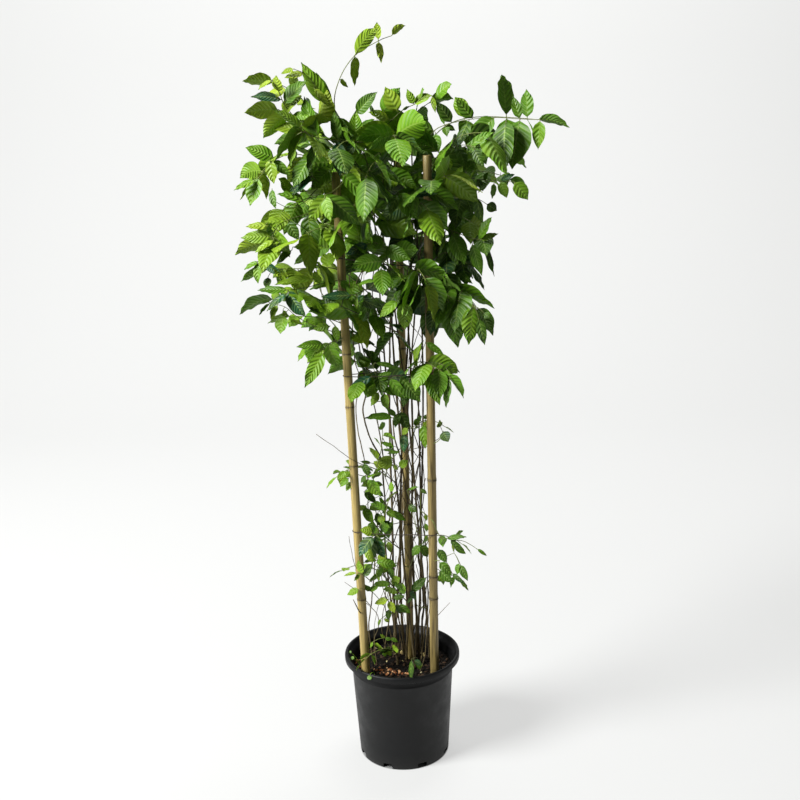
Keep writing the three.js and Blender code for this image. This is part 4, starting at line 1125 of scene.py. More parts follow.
def thicken(bm, blades, thickness):
    """Gives blades an underside: a copy that sinks below the upper side and shares its keen edge."""
    points = list(dict.fromkeys(v for f in blades for v in f.verts))
    bmesh.ops.remove_doubles(bm, verts=points, dist=BLADE_WELD)
    tops = [f for f in bm.faces if f.material_index == 1]
    bm.normal_update()
    edge = {v for f in tops for e in f.edges if e.is_boundary for v in e.verts}
    copied = bmesh.ops.duplicate(bm, geom=tops)
    below = [f for f in copied["geom"] if isinstance(f, bmesh.types.BMFace)]
    bmesh.ops.reverse_faces(bm, faces=below)
    for f in below:
        f.material_index = 2
    for upper, lower in copied["vert_map"].items():
        if isinstance(upper, bmesh.types.BMVert) and upper not in edge and lower not in edge:
            if upper.link_faces[0].material_index == 2:
                upper, lower = lower, upper
            lower.co = upper.co - upper.normal * thickness
    rims = [e for f in [*tops, *below] for e in f.edges if e.is_boundary]
    corners = list(dict.fromkeys(v for e in rims for v in e.verts))
    bmesh.ops.remove_doubles(bm, verts=corners, dist=WELD)
    for f in bm.faces:
        if f.material_index == 1:
            for e in f.edges:
                if any(other.material_index == 2 for other in e.link_faces):
                    e.smooth = False


def leafy(bm):
    """The layers that leaves and their stems need."""
    return {"tone": bm.verts.layers.float.new("tone"), "blade": bm.loops.layers.uv.new("blade")}


def leafy_finishes(context):
    """The finishes of whatever bears leaves, and the settings of its leaves."""
    s = context.scene.creeper_leaves
    return [young_skin(context.scene.creeper_stems), leaf_top(s), leaf_under(s)], s


# Thin stems that climb in the bundle, as they are seen in the photograph: the radius in millimetres, then
# pixel across, pixel down and millimetres behind the pot's middle, from the foot up
THIN_STEMS = {
    "left_climber": (2.0, (
        (397, 656, 45), (393, 618, 35), (389.5, 589, 25), (385, 540, 10), (385, 501, 0), (382, 470, -10),
        (380, 456, -20), (373, 444, -26), (367, 429, -30), (363, 410, -24), (366.5, 388, -16),
        (362, 365, -14), (359.5, 349, -12), (357, 330, -10), (354, 307, -10), (355, 288, -8), (362, 271, 0),
        (371, 259, 14), (378, 250, 30),
    )),
    "left_crosser": (1.5, (
        (400, 659, 35), (395.5, 628, 30), (391, 600, 40), (386, 580, 45), (384, 545, 50), (389, 520, 45),
        (397, 490, 30), (403, 470, 14), (409, 450, 14), (416, 425, 25), (419, 400, 40), (414, 370, 60),
    )),
    "front_crosser": (1.7, (
        (408, 660, 18), (404.5, 645, 12), (401, 628, 8), (397, 613, 5), (394.5, 604, 5), (392, 593, 8),
        (388, 580, 15), (390, 560, 25), (396, 535, 12), (404, 512, 8), (411, 490, 12), (417, 470, 30),
        (421, 452, 45),
    )),
    "right_inner": (2.5, (
        (415, 661, 20), (416.7, 628, 25), (416, 613, 30), (414.5, 590, 35), (413, 560, 35), (412, 535, 32),
        (409, 510, 20), (405, 485, 14), (401, 460, 14), (395, 440, 30), (393, 420, 50),
    )),
    "right_outer": (2.7, (
        (421.8, 654, 60), (422.3, 621, 60), (423.6, 606, 55), (423, 589, 50), (421, 573, 45),
        (418.6, 555, 45), (420, 530, 50), (420.5, 500, 50), (420, 470, 45), (419.4, 445, 40),
        (418.8, 415, 30), (417, 385, 30), (413, 350, 50),
    )),
    "right_leaner": (1.8, (
        (421, 662, 12), (424, 637, 5), (426, 619, 0), (428, 602, -5), (427.6, 582, 0), (427, 560, 10),
        (424, 530, 20), (417, 495, 20), (411, 466, 16), (405, 440, 12), (399, 415, 20), (392, 390, 40),
    )),
    "left_behind": (1.5, (
        (373, 661, 10), (369, 630, 5), (370.5, 610, 5), (372, 597, 5), (374, 575, 2), (376, 545, 0),
        (377, 520, -5), (372, 495, -15), (366, 470, -22), (362, 448, -26), (357.5, 428, -24),
        (356, 405, -22), (359.5, 378, -20), (355, 361, -22), (353, 335, -24), (351, 305, -22),
        (349.5, 279, -16), (353, 258, -6), (355, 246, 6),
    )),
    "back_weaver": (1.6, (
        (384, 653, 60), (386, 640, 60), (389, 620, 58), (392, 600, 60), (396, 575, 62), (400, 550, 66),
        (404, 525, 72), (410, 505, 72), (416, 480, 62), (420, 455, 54), (422, 430, 50), (417, 400, 58),
    )),
    "back_runner": (1.4, (
        (390, 652, 62), (393, 640, 52), (396, 620, 54), (401, 595, 64), (405, 570, 66), (412, 545, 62),
        (419, 520, 60), (424, 495, 55), (423, 465, 45), (416, 440, 30), (408, 420, 16), (399, 400, 20),
        (391, 380, 40),
    )),
    "fan_left": (1.5, (
        (386, 470, 10), (383, 456, 0), (379, 430, -6), (374, 405, -8), (369, 385, -8), (366, 362, -6),
        (362, 345, -4), (359, 330, 0), (358, 305, 6), (361, 280, 14), (366, 262, 22), (370, 246, 30),
    )),
    "fan_thread": (0.6, ((364, 334, 10), (363.6, 300, 8), (364, 277, 8), (364, 250, 12))),
    "fan_middle": (1.5, (
        (392, 440, 30), (388, 410, 26), (382, 380, 22), (379, 350, 22), (376, 320, 26), (372, 290, 34),
        (375, 262, 44), (378, 236, 56),
    )),
    "pale_foot": (1.1, (
        (419.5, 673, -42), (423, 663, -44), (425.5, 651, -46), (426.4, 637, -46), (428, 623, -42),
        (430, 600, -34), (431, 575, -30),
    )),
    "kinked_foot": (1.1, (
        (377, 664, -4), (374.2, 645, 0), (375, 637, 2), (378.8, 624.5, 4), (377, 614, 0), (371, 607, -6),
        (365, 602, -12),
    )),
    "foot_a": (1.6, ((394, 657, 40), (392, 640, 38), (388, 622, 36), (385, 604, 34), (386, 588, 30))),
    "foot_b": (1.3, (
        (398, 655, 50), (400, 636, 52), (399, 618, 50), (396, 600, 46), (394, 582, 44), (396, 556, 40),
    )),
    "foot_c": (1.4, (
        (403, 657, 42), (401, 640, 44), (397, 622, 38), (391, 606, 32), (384, 592, 24), (381, 574, 20),
    )),
    "foot_d": (1.2, (
        (412, 656, 48), (414, 640, 48), (418, 622, 46), (421, 604, 44), (420, 584, 42), (416, 564, 36),
    )),
    "foot_e": (1.3, (
        (408, 659, 28), (411, 642, 28), (415, 626, 26), (420, 612, 24), (425, 600, 20), (427, 582, 16),
    )),
    "foot_f": (1.2, (
        (388, 656, 36), (384, 642, 34), (382, 628, 30), (383, 612, 28), (387, 598, 28), (391, 580, 30),
    )),
    "lattice_a": (0.9, (
        (384, 474, 10), (392, 494, 20), (401.4, 513, 22), (409, 528, 20), (416, 545, 30), (418, 560, 42),
    )),
    "lattice_b": (0.9, ((404, 463, 16), (396, 482, 20), (389, 499, 24), (384, 515, 20), (383, 532, 12))),
    "lattice_c": (0.8, ((404, 481, 12), (398, 498, 15), (393, 511, 20), (388, 525, 24), (384, 540, 30))),
    "lattice_d": (0.9, ((386, 471, 8), (396.4, 485.5, 12), (402, 495, 16), (409, 512, 14), (413, 530, 24))),
    "lattice_e": (0.8, ((404.5, 466, 14), (411, 482, 10), (418, 495, 15), (421, 508, 34), (424, 522, 30))),
    "lattice_f": (0.8, ((420, 452, 40), (416, 460, 22), (409, 474, 12), (403, 488, 12), (397, 502, 20))),
    "lattice_g": (0.9, ((408, 487, 12), (415, 500, 8), (421, 512, 12), (426, 521, 18))),
    "lattice_h": (0.8, ((426, 478, 38), (421, 492, 26), (413, 508, 16), (408, 524, 14), (401, 541, 26))),
    "lattice_i": (0.8, ((408, 464, 18), (413, 480, 14), (420, 499, 24), (425, 516, 34), (423, 534, 40))),
    "lattice_j": (0.9, (
        (380, 556, 10), (387, 572, 14), (394, 588, 14), (401, 605, 16), (405, 622, 20), (407, 640, 24),
    )),
    "lattice_k": (0.8, (
        (403, 552, 20), (396, 566, 14), (388, 582, 10), (380, 600, 6), (376, 616, 6), (374, 634, 6),
        (376, 652, 12),
    )),
    "lattice_m": (0.8, (
        (424, 540, 40), (417, 555, 26), (411, 572, 20), (406, 590, 22), (399, 610, 26), (394, 634, 30),
    )),
    "lattice_n": (0.8, (
        (404, 548, 28), (411, 563, 18), (418, 580, 24), (425, 598, 30), (428, 616, 26), (426, 640, 24),
    )),
    "lattice_p": (0.8, (
        (383, 438, -8), (389, 452, 0), (396, 468, 10), (403, 484, 14), (410, 500, 14), (416, 516, 22),
    )),
    "lattice_q": (0.8, (
        (412, 436, 36), (407, 450, 24), (399, 466, 14), (391, 482, 12), (385, 498, 12), (382, 512, 6),
    )),
    "lattice_r": (0.7, (
        (374, 500, -12), (380, 512, 0), (388, 526, 12), (395, 541, 18), (403, 556, 22), (411, 573, 26),
    )),
    "twig_right": (0.9, (
        (403.8, 453, 14), (410, 450, 4), (417, 448, -10), (425.4, 447, -26), (434, 442, -36),
        (442, 435, -46), (441, 428, -50), (438.7, 424, -52),
    )),
    "twig_hook": (1.0, ((409.7, 442, 14), (414.6, 453, 4), (421.3, 460.6, -2))),
    "bare_far_left": (0.9, (
        (372, 470, -14), (366, 466, -30), (357, 462, -74), (348, 457, -82), (336, 448, -86),
        (316, 434, -90),
    )),
    "bare_left_low": (0.8, (
        (372, 582, 2), (362, 574, -40), (355, 565, -76), (351, 548, -84), (349, 536, -88),
    )),
    "bare_left_foot": (0.8, ((370, 605, 4), (362, 596, -30), (352, 587.5, -74), (344.6, 582, -84))),
    "bare_stub": (1.6, ((366, 622, 2), (359, 611, -70), (353, 599.5, -78))),
    "bare_right": (0.8, ((431, 628, -38), (436, 618, -50), (441, 612, -62), (450, 602.8, -76))),
    "arc_left": (0.8, ((380, 345, 22), (384, 341, 10), (388, 343, 0), (390, 348, -6), (390.6, 358, -10))),
    "diagonal": (0.9, ((369.5, 338, -6), (374, 326, -4), (379, 314, -2), (386, 300, 4))),
    "fork_right": (1.0, ((408, 318, 36), (411.3, 325.3, 20), (418, 333, 0), (424, 341.4, -20))),
    "fork_low": (1.0, (
        (421, 322, 20), (419.4, 328.7, 14), (414.8, 342.5, 6), (409, 358, 8), (408.6, 376, 20),
    )),
}
STEM_SWAY = 1.2 * MM  # how far a thin stem strays from its line
# Three places of the noise that have nothing to do with each other, one for each direction of the sway
SWAY_APART = (Vector((0, 0, 0)), Vector((31.4, 7.7, 13.2)), Vector((5.6, 43.3, 19.8)))
THIN_FOOT, THIN_TAPER = 1.1, 0.45  # how thick a thin stem's foot is, and what it loses on the way up
THIN_KNUCKLE, EVERY_THIN_KNUCKLE, THIN_UNEVEN = 0.2, 7, 0.08


def thin_stem(name):
    """The smooth line of a thin stem."""
    _, path = THIN_STEMS[name]
    line = smooth_line([seen_at(*point) for point in path], 6)
    shift = Vector((0, 0, 10 * len(name)))
    swayed = []
    for point in line:
        spot = point / (24 * MM) + shift
        swayed.append(point + Vector([noise.noise(spot + apart) for apart in SWAY_APART]) * STEM_SWAY)
    return swayed


THIN_LINES = {name: thin_stem(name) for name in THIN_STEMS}


class CREEPER_OT_thin_stems(bpy.types.Operator):
    """Winds thin stems, twigs and bare shoots through the bundle of woody stems"""

    bl_idname = "creeper.thin_stems"
    bl_label = "Thin stems"

    def execute(self, context):
        bark = old_bark(context.scene.creeper_stems)
        for name, line in THIN_LINES.items():
            draw = random.Random(name)
            radius = THIN_STEMS[name][0] * MM
            sizes = []
            for i in range(len(line)):
                uneven = draw.uniform(-THIN_UNEVEN, THIN_UNEVEN) if i % EVERY_THIN_KNUCKLE else THIN_KNUCKLE
                sizes.append(radius * (THIN_FOOT - THIN_TAPER * i / len(line)) * (1 + uneven))
            bm = bmesh.new()
            tube(bm, line, sizes, 7, bumps=lambda i, angle: 1 + 0.06 * math.sin(2 * angle + i))
            piece("thin_stem_" + name, bm, [bark])
        return {"FINISHED"}


# How yellow and how light the leaves of a shoot are, from 0, dark and old, to 1, fresh: partly their age and
# partly painted light and shade, lighter on the lit left of the crown and darker in the shade on its right. A
# name that ends in _ starts others
SHOOT_TONES = {
    "top_sprig": 0.85, "upper_left_high": 0.68, "upper_left_mid": 0.64, "left_far": 0.64,
    "left_mid_high": 0.6, "left_mid": 0.58, "left_low": 0.5, "left_low_high": 0.56, "left_low_back": 0.4,
    "left_lowest": 0.5,
    "top_left": 0.44, "top_middle": 0.32, "top_right": 0.3, "right_arch": 0.3, "right_cluster": 0.22,
    "right_back": 0.18, "right_mid": 0.2, "right_low": 0.2, "right_lower": 0.15, "right_lowest": 0.22,
    "front_top": 0.22, "front_middle": 0.26, "front_right": 0.2, "front_right_high": 0.18, "back_high": 0.16,
    "low_": 0.5, "back_": 0.3,
}
PLAIN_TONE = 0.34
TONE_ALONG, TONE_SPREAD = 0.3, 0.13  # how much yellower a shoot's end is, and how its leaves differ
FRESH_LEAVES, FRESH_TONE = 0.06, 0.35  # the share of leaves that stand out, and by how much
SHOOT_FOOT, SHOOT_TAPER = 1.25, 0.65


def shoot_tone(key):
    """The tone of a shoot's leaves, by its name."""
    for name, tone in SHOOT_TONES.items():
        if key == name or (name.endswith("_") and key.startswith(name)):
            return tone
    return PLAIN_TONE


class CREEPER_OT_shoots(bpy.types.Operator):
    """Grows the leafy shoots: each keeps the line and the leaves of its CAD shoot, with fine blades"""

    bl_idname = "creeper.shoots"
    bl_label = "Leafy shoots"

    def execute(self, context):
        finishes, s = leafy_finishes(context)
        for name, (line, leaves) in SHOOTS.items():
            draw = random.Random(name)
            key = name.removeprefix("shoot_")
            bm = bmesh.new()
            layers = leafy(bm)
            start = min(STEM_POINTS, key=lambda p: (p - line[0]).length)
            smooth = smooth_line([start, *line], 5)
            count = len(smooth)
            sizes = [SHOOT_RADIUS * (SHOOT_FOOT - SHOOT_TAPER * i / (count - 1)) for i in range(count)]
            for v in tube(bm, smooth, sizes, 7):
                near = min(range(0, count, 3), key=lambda i: (smooth[i] - v.co).length)
                v[layers["tone"]] = 0.15 + 0.75 * near / count
            blades = []
            for leaf in leaves:
                place = min(range(count), key=lambda i: (smooth[i] - leaf["base"]).length) / count
                tone = shoot_tone(key) + TONE_ALONG * (place - 0.5) + draw.gauss(0, TONE_SPREAD)
                if draw.random() < FRESH_LEAVES:
                    tone += FRESH_TONE
                blades += add_leaf(bm, layers, leaf, tone, draw, s)
            thicken(bm, blades, s.thickness)
            piece("leafy_" + name, bm, finishes, [name])
        return {"FINISHED"}


# The sprays that stand out in the photograph. Each has its depths in millimetres behind the pot's middle, at
# its start and its end, its path in pixels, and its leaves: pixels of the base and of the tip, width as a
# share of the length, and tone from 0, bluish and dark, to 1, fresh. A tone is partly the leaf's age and
# partly painted light and shade, and the lowest, bluish tones are a painted sky reflection
SPRAYS = {
    "left_arm": ((-60, -130), ((372, 144), (356, 142), (338, 141), (319, 138), (303, 132)), (
        (319, 138, 304, 96, 0.38, 0.3), (319, 138, 309, 174, 0.42, 0.24), (338, 141, 334, 111, 0.42, 0.2),
        (338, 141, 340, 177, 0.42, 0.14), (303, 132, 272, 109, 0.36, 0.56), (303, 132, 263, 123, 0.3, 0.8),
        (302, 132, 291, 167, 0.46, 0.6), (356, 142, 356, 110, 0.48, 0.5), (356, 143, 345, 160, 0.45, 0.1),
    )),
    "left_fan": ((-20, -90), ((345, 152), (332, 114), (320, 92), (306, 75), (294, 69)), (
        (327, 104, 301, 62, 0.36, 0.5), (331, 110, 316, 72, 0.3, 0.42), (314, 88, 329, 107, 0.3, 0.85),
        (304, 73, 284, 78, 0.42, 0.95), (295, 68, 281, 74, 0.45, 0.85), (334, 120, 352, 128, 0.4, 0.4),
    )),
    "left_tip": ((-90, -120), ((304, 131), (294, 117), (284, 104), (279, 92), (272, 80)), (
        (284, 103, 307, 80, 0.62, 0.2), (281, 100.7, 250.5, 97, 0.4, 0.06), (279, 93, 276, 75, 0.75, 0.9),
        (271.6, 80.3, 258, 90, 0.35, 0.95), (292, 114, 312, 118, 0.4, 0.5),
    )),
    "left_down": ((-90, -120), (
        (300, 133), (289, 141), (280, 151), (271.6, 161.7), (262, 174), (256, 180),
    ), (
        (273, 158, 245, 147.4, 0.5, 0.5), (270, 160, 274, 184, 0.5, 0.75),
        (272, 160, 290.5, 176, 0.42, 0.4), (256, 179.3, 233.7, 190.5, 0.35, 0.5),
        (259, 178, 250, 206, 0.6, 0.45),
    )),
    "left_inner": ((-60, -130), (
        (345, 176), (330, 182), (316, 190), (304.5, 202), (290, 208), (272, 200),
    ), (
        (311, 156, 293, 188, 0.5, 0.3), (332, 168, 311, 190, 0.6, 0.5), (312, 176, 289, 197, 0.5, 0.05),
        (304.5, 202, 277, 194, 0.4, 0.55), (272, 189, 276, 209, 0.4, 0.35), (304, 201, 322, 205, 0.35, 0.7),
    )),
    "front_crown": ((-100, -180), ((352, 168), (345, 180), (335, 190), (325, 195)), (
        (325, 194, 361, 225.6, 0.42, 0.3), (341.7, 174, 371, 202, 0.5, 0.28),
        (325, 195, 331, 222, 0.45, 0.4), (325, 197, 309, 222, 0.5, 0.62),
    )),
    "left_big": ((-90, -150), ((326, 204), (312, 212), (300, 216), (288, 220), (278, 226), (272, 237)), (
        (307, 214, 315, 254, 0.52, 0.3), (287, 221.5, 261.6, 223, 0.4, 0.66),
        (268, 226, 245.5, 226.6, 0.4, 0.85), (272.5, 237.6, 240.6, 238, 0.45, 0.55),
        (274, 240, 254.7, 253, 0.4, 0.72), (278, 230, 290, 257.6, 0.56, 0.5),
        (288, 222, 299, 240, 0.6, 0.14), (331, 226, 321.5, 239, 0.7, 0.62), (280, 242, 262, 252, 0.45, 0.7),
    )),
    "left_string": ((-80, -130), ((321, 292), (317, 272), (311, 255), (302, 250), (293, 247)), (
        (293, 246.7, 326, 248, 0.3, 0.55), (292, 250, 276.5, 264.5, 0.42, 0.25),
        (310.4, 254, 294, 264.5, 0.42, 0.2),
    )),
    "left_curl": ((-60, -110), ((300, 284), (285, 277), (272, 268), (260, 262), (256, 262)), (
        (259, 261, 244, 270, 0.38, 0.45), (258.7, 263, 258, 284, 0.42, 0.5),
        (260.4, 262, 283, 277.7, 0.3, 0.02), (268, 277, 266.7, 289, 0.75, 0.18),
    )),
    "left_striped": ((-90, -160), ((346, 284), (336, 281), (320, 284), (304, 288), (288, 290)), (
        (312.7, 279, 274, 285, 0.32, 0.75), (288, 289, 257, 290.4, 0.34, 0.3),
        (287.4, 289, 306, 317.3, 0.5, 0.06), (304.6, 297.8, 327.6, 313.3, 0.5, 0.07),
        (287.4, 293, 266.7, 311.6, 0.36, 0.04), (336.8, 281, 309, 290, 0.36, 0.5),
        (320, 283, 314, 270, 0.5, 0.62), (334, 284, 329, 275, 0.5, 0.5), (341, 282, 350, 289, 0.6, 0.4),
        (322, 296, 338, 305, 0.5, 0.1),
    )),
    "left_teal": ((-90, -160), ((372, 286), (362, 291), (353, 295), (340, 297)), (
        (353.4, 294.4, 320.7, 297, 0.3, 0.04), (356, 295.5, 384, 308.7, 0.36, 0.06),
        (358, 285, 376, 281, 0.42, 0.5), (353, 295, 346, 286, 0.4, 0.35), (357, 297, 357, 309, 0.45, 0.6),
    )),
    "left_low_twigs": ((-80, -120), (
        (340, 336), (325, 329), (312, 325), (296, 316), (285, 307), (270, 303),
    ), (
        (268, 302, 250, 296.7, 0.34, 0.5), (270, 304, 259, 315.6, 0.5, 0.6),
        (278, 306, 270.8, 320, 0.5, 0.7), (284, 316, 280.5, 334, 0.88, 0.5),
        (303.5, 324.8, 290, 320, 0.42, 0.7), (330, 326, 312.7, 329.4, 0.5, 0.55),
        (335, 325, 338, 342, 0.5, 0.6), (324, 322, 316, 318, 0.5, 0.6), (283, 310, 287, 318, 0.5, 0.6),
    )),
    "left_lowest": ((-80, -120), ((343, 338), (335, 341), (328, 344), (323, 350)), (
        (324, 344, 296, 347, 0.34, 0.42), (323, 348, 314, 357.5, 0.55, 0.6),
        (328, 344, 338.5, 366.7, 0.58, 0.46), (324, 352, 304.6, 388, 0.36, 0.62),
        (331, 342, 340, 352, 0.5, 0.5),
    )),
    "middle_rounds": ((-20, -60), ((374, 366), (370, 355), (366, 346), (365, 339)), (
        (366.6, 339.7, 350, 338, 0.9, 0.75), (371, 358, 357.4, 367, 0.85, 0.5),
        (372, 362, 377, 352, 0.6, 0.4),
    )),
    "middle_teal": ((-30, -90), ((384, 400), (380, 388), (376, 376), (373, 366)), (
        (372.4, 376.5, 349, 388, 0.34, 0.03), (375, 363, 400, 369, 0.25, 0.12),
        (378, 380, 392, 372, 0.5, 0.35), (380, 388, 396, 396, 0.6, 0.35), (379, 392, 371, 406, 0.55, 0.6),
        (384, 393, 388, 410, 0.55, 0.5), (400, 376, 420.5, 402, 0.6, 0.2), (390, 378, 406, 399, 0.45, 0.35),
        (378, 384, 366, 398, 0.5, 0.6),
    )),
    "centre_dark": ((-50, -120), ((402, 266), (394, 258), (386, 249), (376, 243)), (
        (384.4, 244.4, 362, 241, 0.6, 0.4), (368, 244, 345.4, 255, 0.4, 0.05),
        (385, 247, 411, 260, 0.5, 0.36), (388, 270, 377.5, 263.5, 0.35, 0.1),
        (391, 280, 373.5, 276, 0.3, 0.12),
    )),
    "centre_low": ((-60, -140), ((409, 266), (406, 280), (402, 292), (397, 302)), (
        (404, 288, 386, 308, 0.66, 0.12), (405, 301, 405, 330, 0.55, 0.5), (412, 268, 414, 292, 0.5, 0.45),
        (398, 300, 379, 318, 0.42, 0.55), (404, 276, 391, 290, 0.5, 0.3),
    )),
    "top_dark": ((-10, -60), ((372, 150), (362, 132), (357, 120), (356.5, 114)), (
        (357, 114, 377.5, 91.6, 0.45, 0.24), (360, 128, 375, 119, 0.5, 0.3),
    )),
    "top_chain": ((-20, -60), ((378, 132), (392, 120), (404, 109), (414, 104.5), (424, 97), (432, 96)), (
        (415, 105, 432, 95, 0.6, 0.66), (415, 104.5, 407, 88.8, 0.5, 0.55),
        (398, 112, 385, 86.6, 0.6, 0.85), (432, 97, 435.5, 113, 0.3, 0.7), (390, 120, 368, 112, 0.6, 0.7),
        (402, 110, 410, 106, 0.5, 0.3),
    )),
    "arch_leaves": ((-10, -90), (
        (424, 146), (434, 131), (445, 125), (456, 122), (473, 119), (495, 117.5), (520, 119), (538, 119.7),
    ), (
        (540, 120, 538, 149.4, 0.46, 0.42), (473, 118.5, 456, 98, 0.48, 0.22),
        (452, 122.7, 436.7, 101.5, 0.45, 0.16), (433, 130.6, 411, 119.7, 0.42, 0.3),
        (435.4, 133, 438.5, 153, 0.55, 0.4), (432.4, 134, 418.5, 167, 0.26, 0.03),
        (445, 124.5, 455.4, 130.6, 0.5, 0.16), (468.8, 121, 458, 147.6, 0.55, 0.2),
        (494, 118.5, 468.8, 141.5, 0.55, 0.24), (520, 119, 512, 169.4, 0.62, 0.26),
        (506, 120, 505.7, 171.8, 0.5, 0.2), (520, 119, 513, 96, 0.42, 0.3),
    )),
    "arch_under": ((-60, -140), ((446, 148), (456, 146), (465, 145), (474, 147)), (
        (465, 145, 499, 150, 0.42, 0.34), (474, 148.8, 483, 167, 0.5, 0.12),
        (447, 147.5, 450.6, 169.4, 0.5, 0.5), (470, 146, 494, 132, 0.4, 0.28),
        (456, 147, 436, 160, 0.45, 0.55), (458, 148, 466, 168, 0.5, 0.3),
    )),
    "right_bunch": ((-40, -120), ((440, 178), (455, 176), (470, 178), (484, 180), (498, 181), (514, 182)), (
        (500, 180, 507, 198, 0.6, 0.5), (501.5, 180.3, 515, 174, 0.5, 0.14),
        (515, 182.7, 528, 200, 0.65, 0.5), (484, 180, 489, 172, 0.6, 0.4), (470, 178, 478, 168, 0.7, 0.6),
        (476, 180, 483, 190, 0.5, 0.12), (458, 177, 463, 166, 0.6, 0.55), (464, 178, 457, 190, 0.5, 0.2),
        (445.7, 163, 436, 189, 0.35, 0.06), (494, 183, 492, 199, 0.6, 0.36),
        (486, 184, 478, 193, 0.5, 0.18), (462, 186, 481, 191, 0.35, 0.55), (450, 178, 446, 192, 0.6, 0.3),
    )),
    "right_hang": ((-50, -120), ((446, 200), (458, 198), (470, 197), (480, 200), (488, 205)), (
        (461.5, 198, 456, 229, 0.6, 0.14), (477, 197, 482.7, 224, 0.42, 0.2),
        (486, 204.5, 497, 210.6, 0.85, 0.16), (466, 198, 473, 215, 0.5, 0.25),
        (450, 199, 443, 217, 0.5, 0.2),
    )),
    "right_point": ((-60, -120), ((448, 228), (458, 233), (468, 237), (480, 240)), (
        (479, 239, 492, 216.6, 0.5, 0.32), (480, 240, 498.5, 233.6, 0.35, 0.5),
        (452, 233, 465, 265, 0.5, 0.32), (450, 238, 458, 266, 0.45, 0.24), (472, 243, 482, 276, 0.35, 0.2),
        (446, 230, 437, 262, 0.5, 0.14),
    )),
    "cane_front": ((-90, -140), ((400, 182), (406, 190), (398, 192)), (
        (442, 191, 408, 196, 0.25, 0.12), (397, 192, 418, 220, 0.5, 0.4), (404, 178, 417, 188, 0.5, 0.6),
        (398, 194, 390, 216, 0.5, 0.25),
    )),
    "right_droop": ((-70, -140), ((436, 284), (444, 293), (452, 298), (464, 303), (474, 306)), (
        (446, 271, 457, 303, 0.68, 0.2), (457, 271, 473, 284, 0.3, 0.16), (448, 299, 458, 348, 0.42, 0.28),
        (473, 306, 468.5, 345, 0.5, 0.5), (478.5, 318, 484.8, 345.4, 0.35, 0.2),
        (484, 313, 490, 318, 0.9, 0.25), (446, 295, 427, 311, 0.6, 0.62), (438, 301, 430, 336, 0.5, 0.2),
        (442, 280, 433, 296, 0.5, 0.3),
    )),
    "right_low_pair": ((-70, -120), ((428, 366), (432, 364), (438, 363), (446, 368), (450, 376)), (
        (427.4, 372, 440, 405.6, 0.4, 0.42), (439, 363, 444.6, 391, 0.6, 0.5),
        (450, 378, 446, 408, 0.3, 0.26), (425.7, 342, 444.6, 355.7, 0.3, 0.42),
        (417, 369.5, 422, 343, 0.5, 0.66), (445, 366, 451, 362, 0.6, 0.4),
    )),
    "low_knot": ((-5, -35), ((386, 476), (388, 466), (393, 458), (398, 452), (402, 444), (405, 433)), (
        (393, 466, 376.5, 459, 0.7, 0.72), (399, 467, 408, 460, 0.7, 0.7), (393, 465, 398, 470, 0.6, 0.75),
        (392, 446, 380.6, 442, 0.35, 0.45), (392, 449, 390, 441, 0.6, 0.4),
        (395, 451, 381.5, 450, 0.3, 0.16), (400, 452, 387, 454, 0.3, 0.14), (405, 432, 404, 453, 0.5, 0.12),
        (408, 428, 402, 435, 0.8, 0.66), (423, 424, 425.5, 449, 0.35, 0.5),
    )),
    "low_left_twig": ((-20, -60), ((386, 474), (378, 466), (371, 463), (362, 463)), (
        (381, 468, 372, 477, 0.5, 0.6), (364, 464, 369.5, 476.4, 0.5, 0.18),
        (371, 464, 360, 461.5, 0.3, 0.25),
    )),
    "low_left_behind": ((-20, -60), ((364, 476), (356, 474), (350, 471)), (
        (351, 468, 343, 467, 0.3, 0.4), (350, 470, 345, 478, 0.7, 0.55), (346, 471, 337, 480, 0.5, 0.5),
        (349, 478, 340, 487, 0.5, 0.62), (352, 482, 346, 491, 0.6, 0.62),
    )),
    "low_droop": ((-10, -60), ((386, 505), (380, 496), (372, 486), (368, 479)), (
        (368, 479, 380.6, 496, 0.6, 0.5), (366, 476, 361, 483, 0.6, 0.18), (364, 492, 377, 503, 0.42, 0.18),
        (372, 488, 384, 497, 0.4, 0.42), (364, 507, 373, 524, 0.5, 0.46),
    )),
    "low_star": ((5, -35), ((390, 520), (387, 510), (384, 504)), (
        (385, 504, 377, 511, 0.42, 0.5), (385, 503, 379, 497, 0.4, 0.45), (386, 502, 391, 496.5, 0.4, 0.45),
        (386, 505, 392, 510, 0.4, 0.4), (385, 506, 384, 515, 0.4, 0.4), (390, 511, 406, 521, 0.42, 0.5),
        (378, 512, 379, 526, 0.5, 0.16), (383, 521, 393, 531, 0.6, 0.18), (385, 524, 381, 534, 0.5, 0.35),
    )),
    "low_round": ((-66, -100), ((382, 540), (376, 536), (370, 530)), (
        (374, 533, 360, 530, 0.85, 0.72), (373, 536, 359, 557, 0.55, 0.03),
        (374, 536, 385, 558, 0.55, 0.05), (372, 538, 371, 561, 0.6, 0.1), (366, 548, 373, 563, 0.5, 0.7),
        (388, 541, 391, 553, 0.5, 0.75),
    )),
    "low_right_in": ((0, -40), ((410, 566), (415, 553), (420, 545)), (
        (421, 544, 412, 556, 0.6, 0.26), (420, 545, 428, 557, 0.6, 0.26), (408.8, 505, 417, 512, 0.7, 0.16),
        (407, 490, 419, 487, 0.45, 0.16), (421, 489, 427, 494, 0.5, 0.14),
    )),
    "low_right_edge": ((10, -30), ((423, 548), (425, 532), (425, 514)), (
        (424, 513, 427, 521, 0.5, 0.66), (425, 524, 427, 532, 0.5, 0.5), (424, 540, 428, 535, 0.5, 0.66),
    )),
    "low_fork": ((-20, -60), ((388, 582), (382, 572), (376, 566), (370, 564)), (
        (380, 562, 397, 566, 0.6, 0.42), (378, 568, 379, 582, 0.5, 0.7), (390, 566, 393, 580, 0.4, 0.24),
        (372, 565, 365, 571, 0.7, 0.16), (376, 563, 386, 560, 0.5, 0.36),
    )),
    "low_cane_left": ((-76, -96), ((372, 580), (366, 577), (361, 574), (357, 573)), (
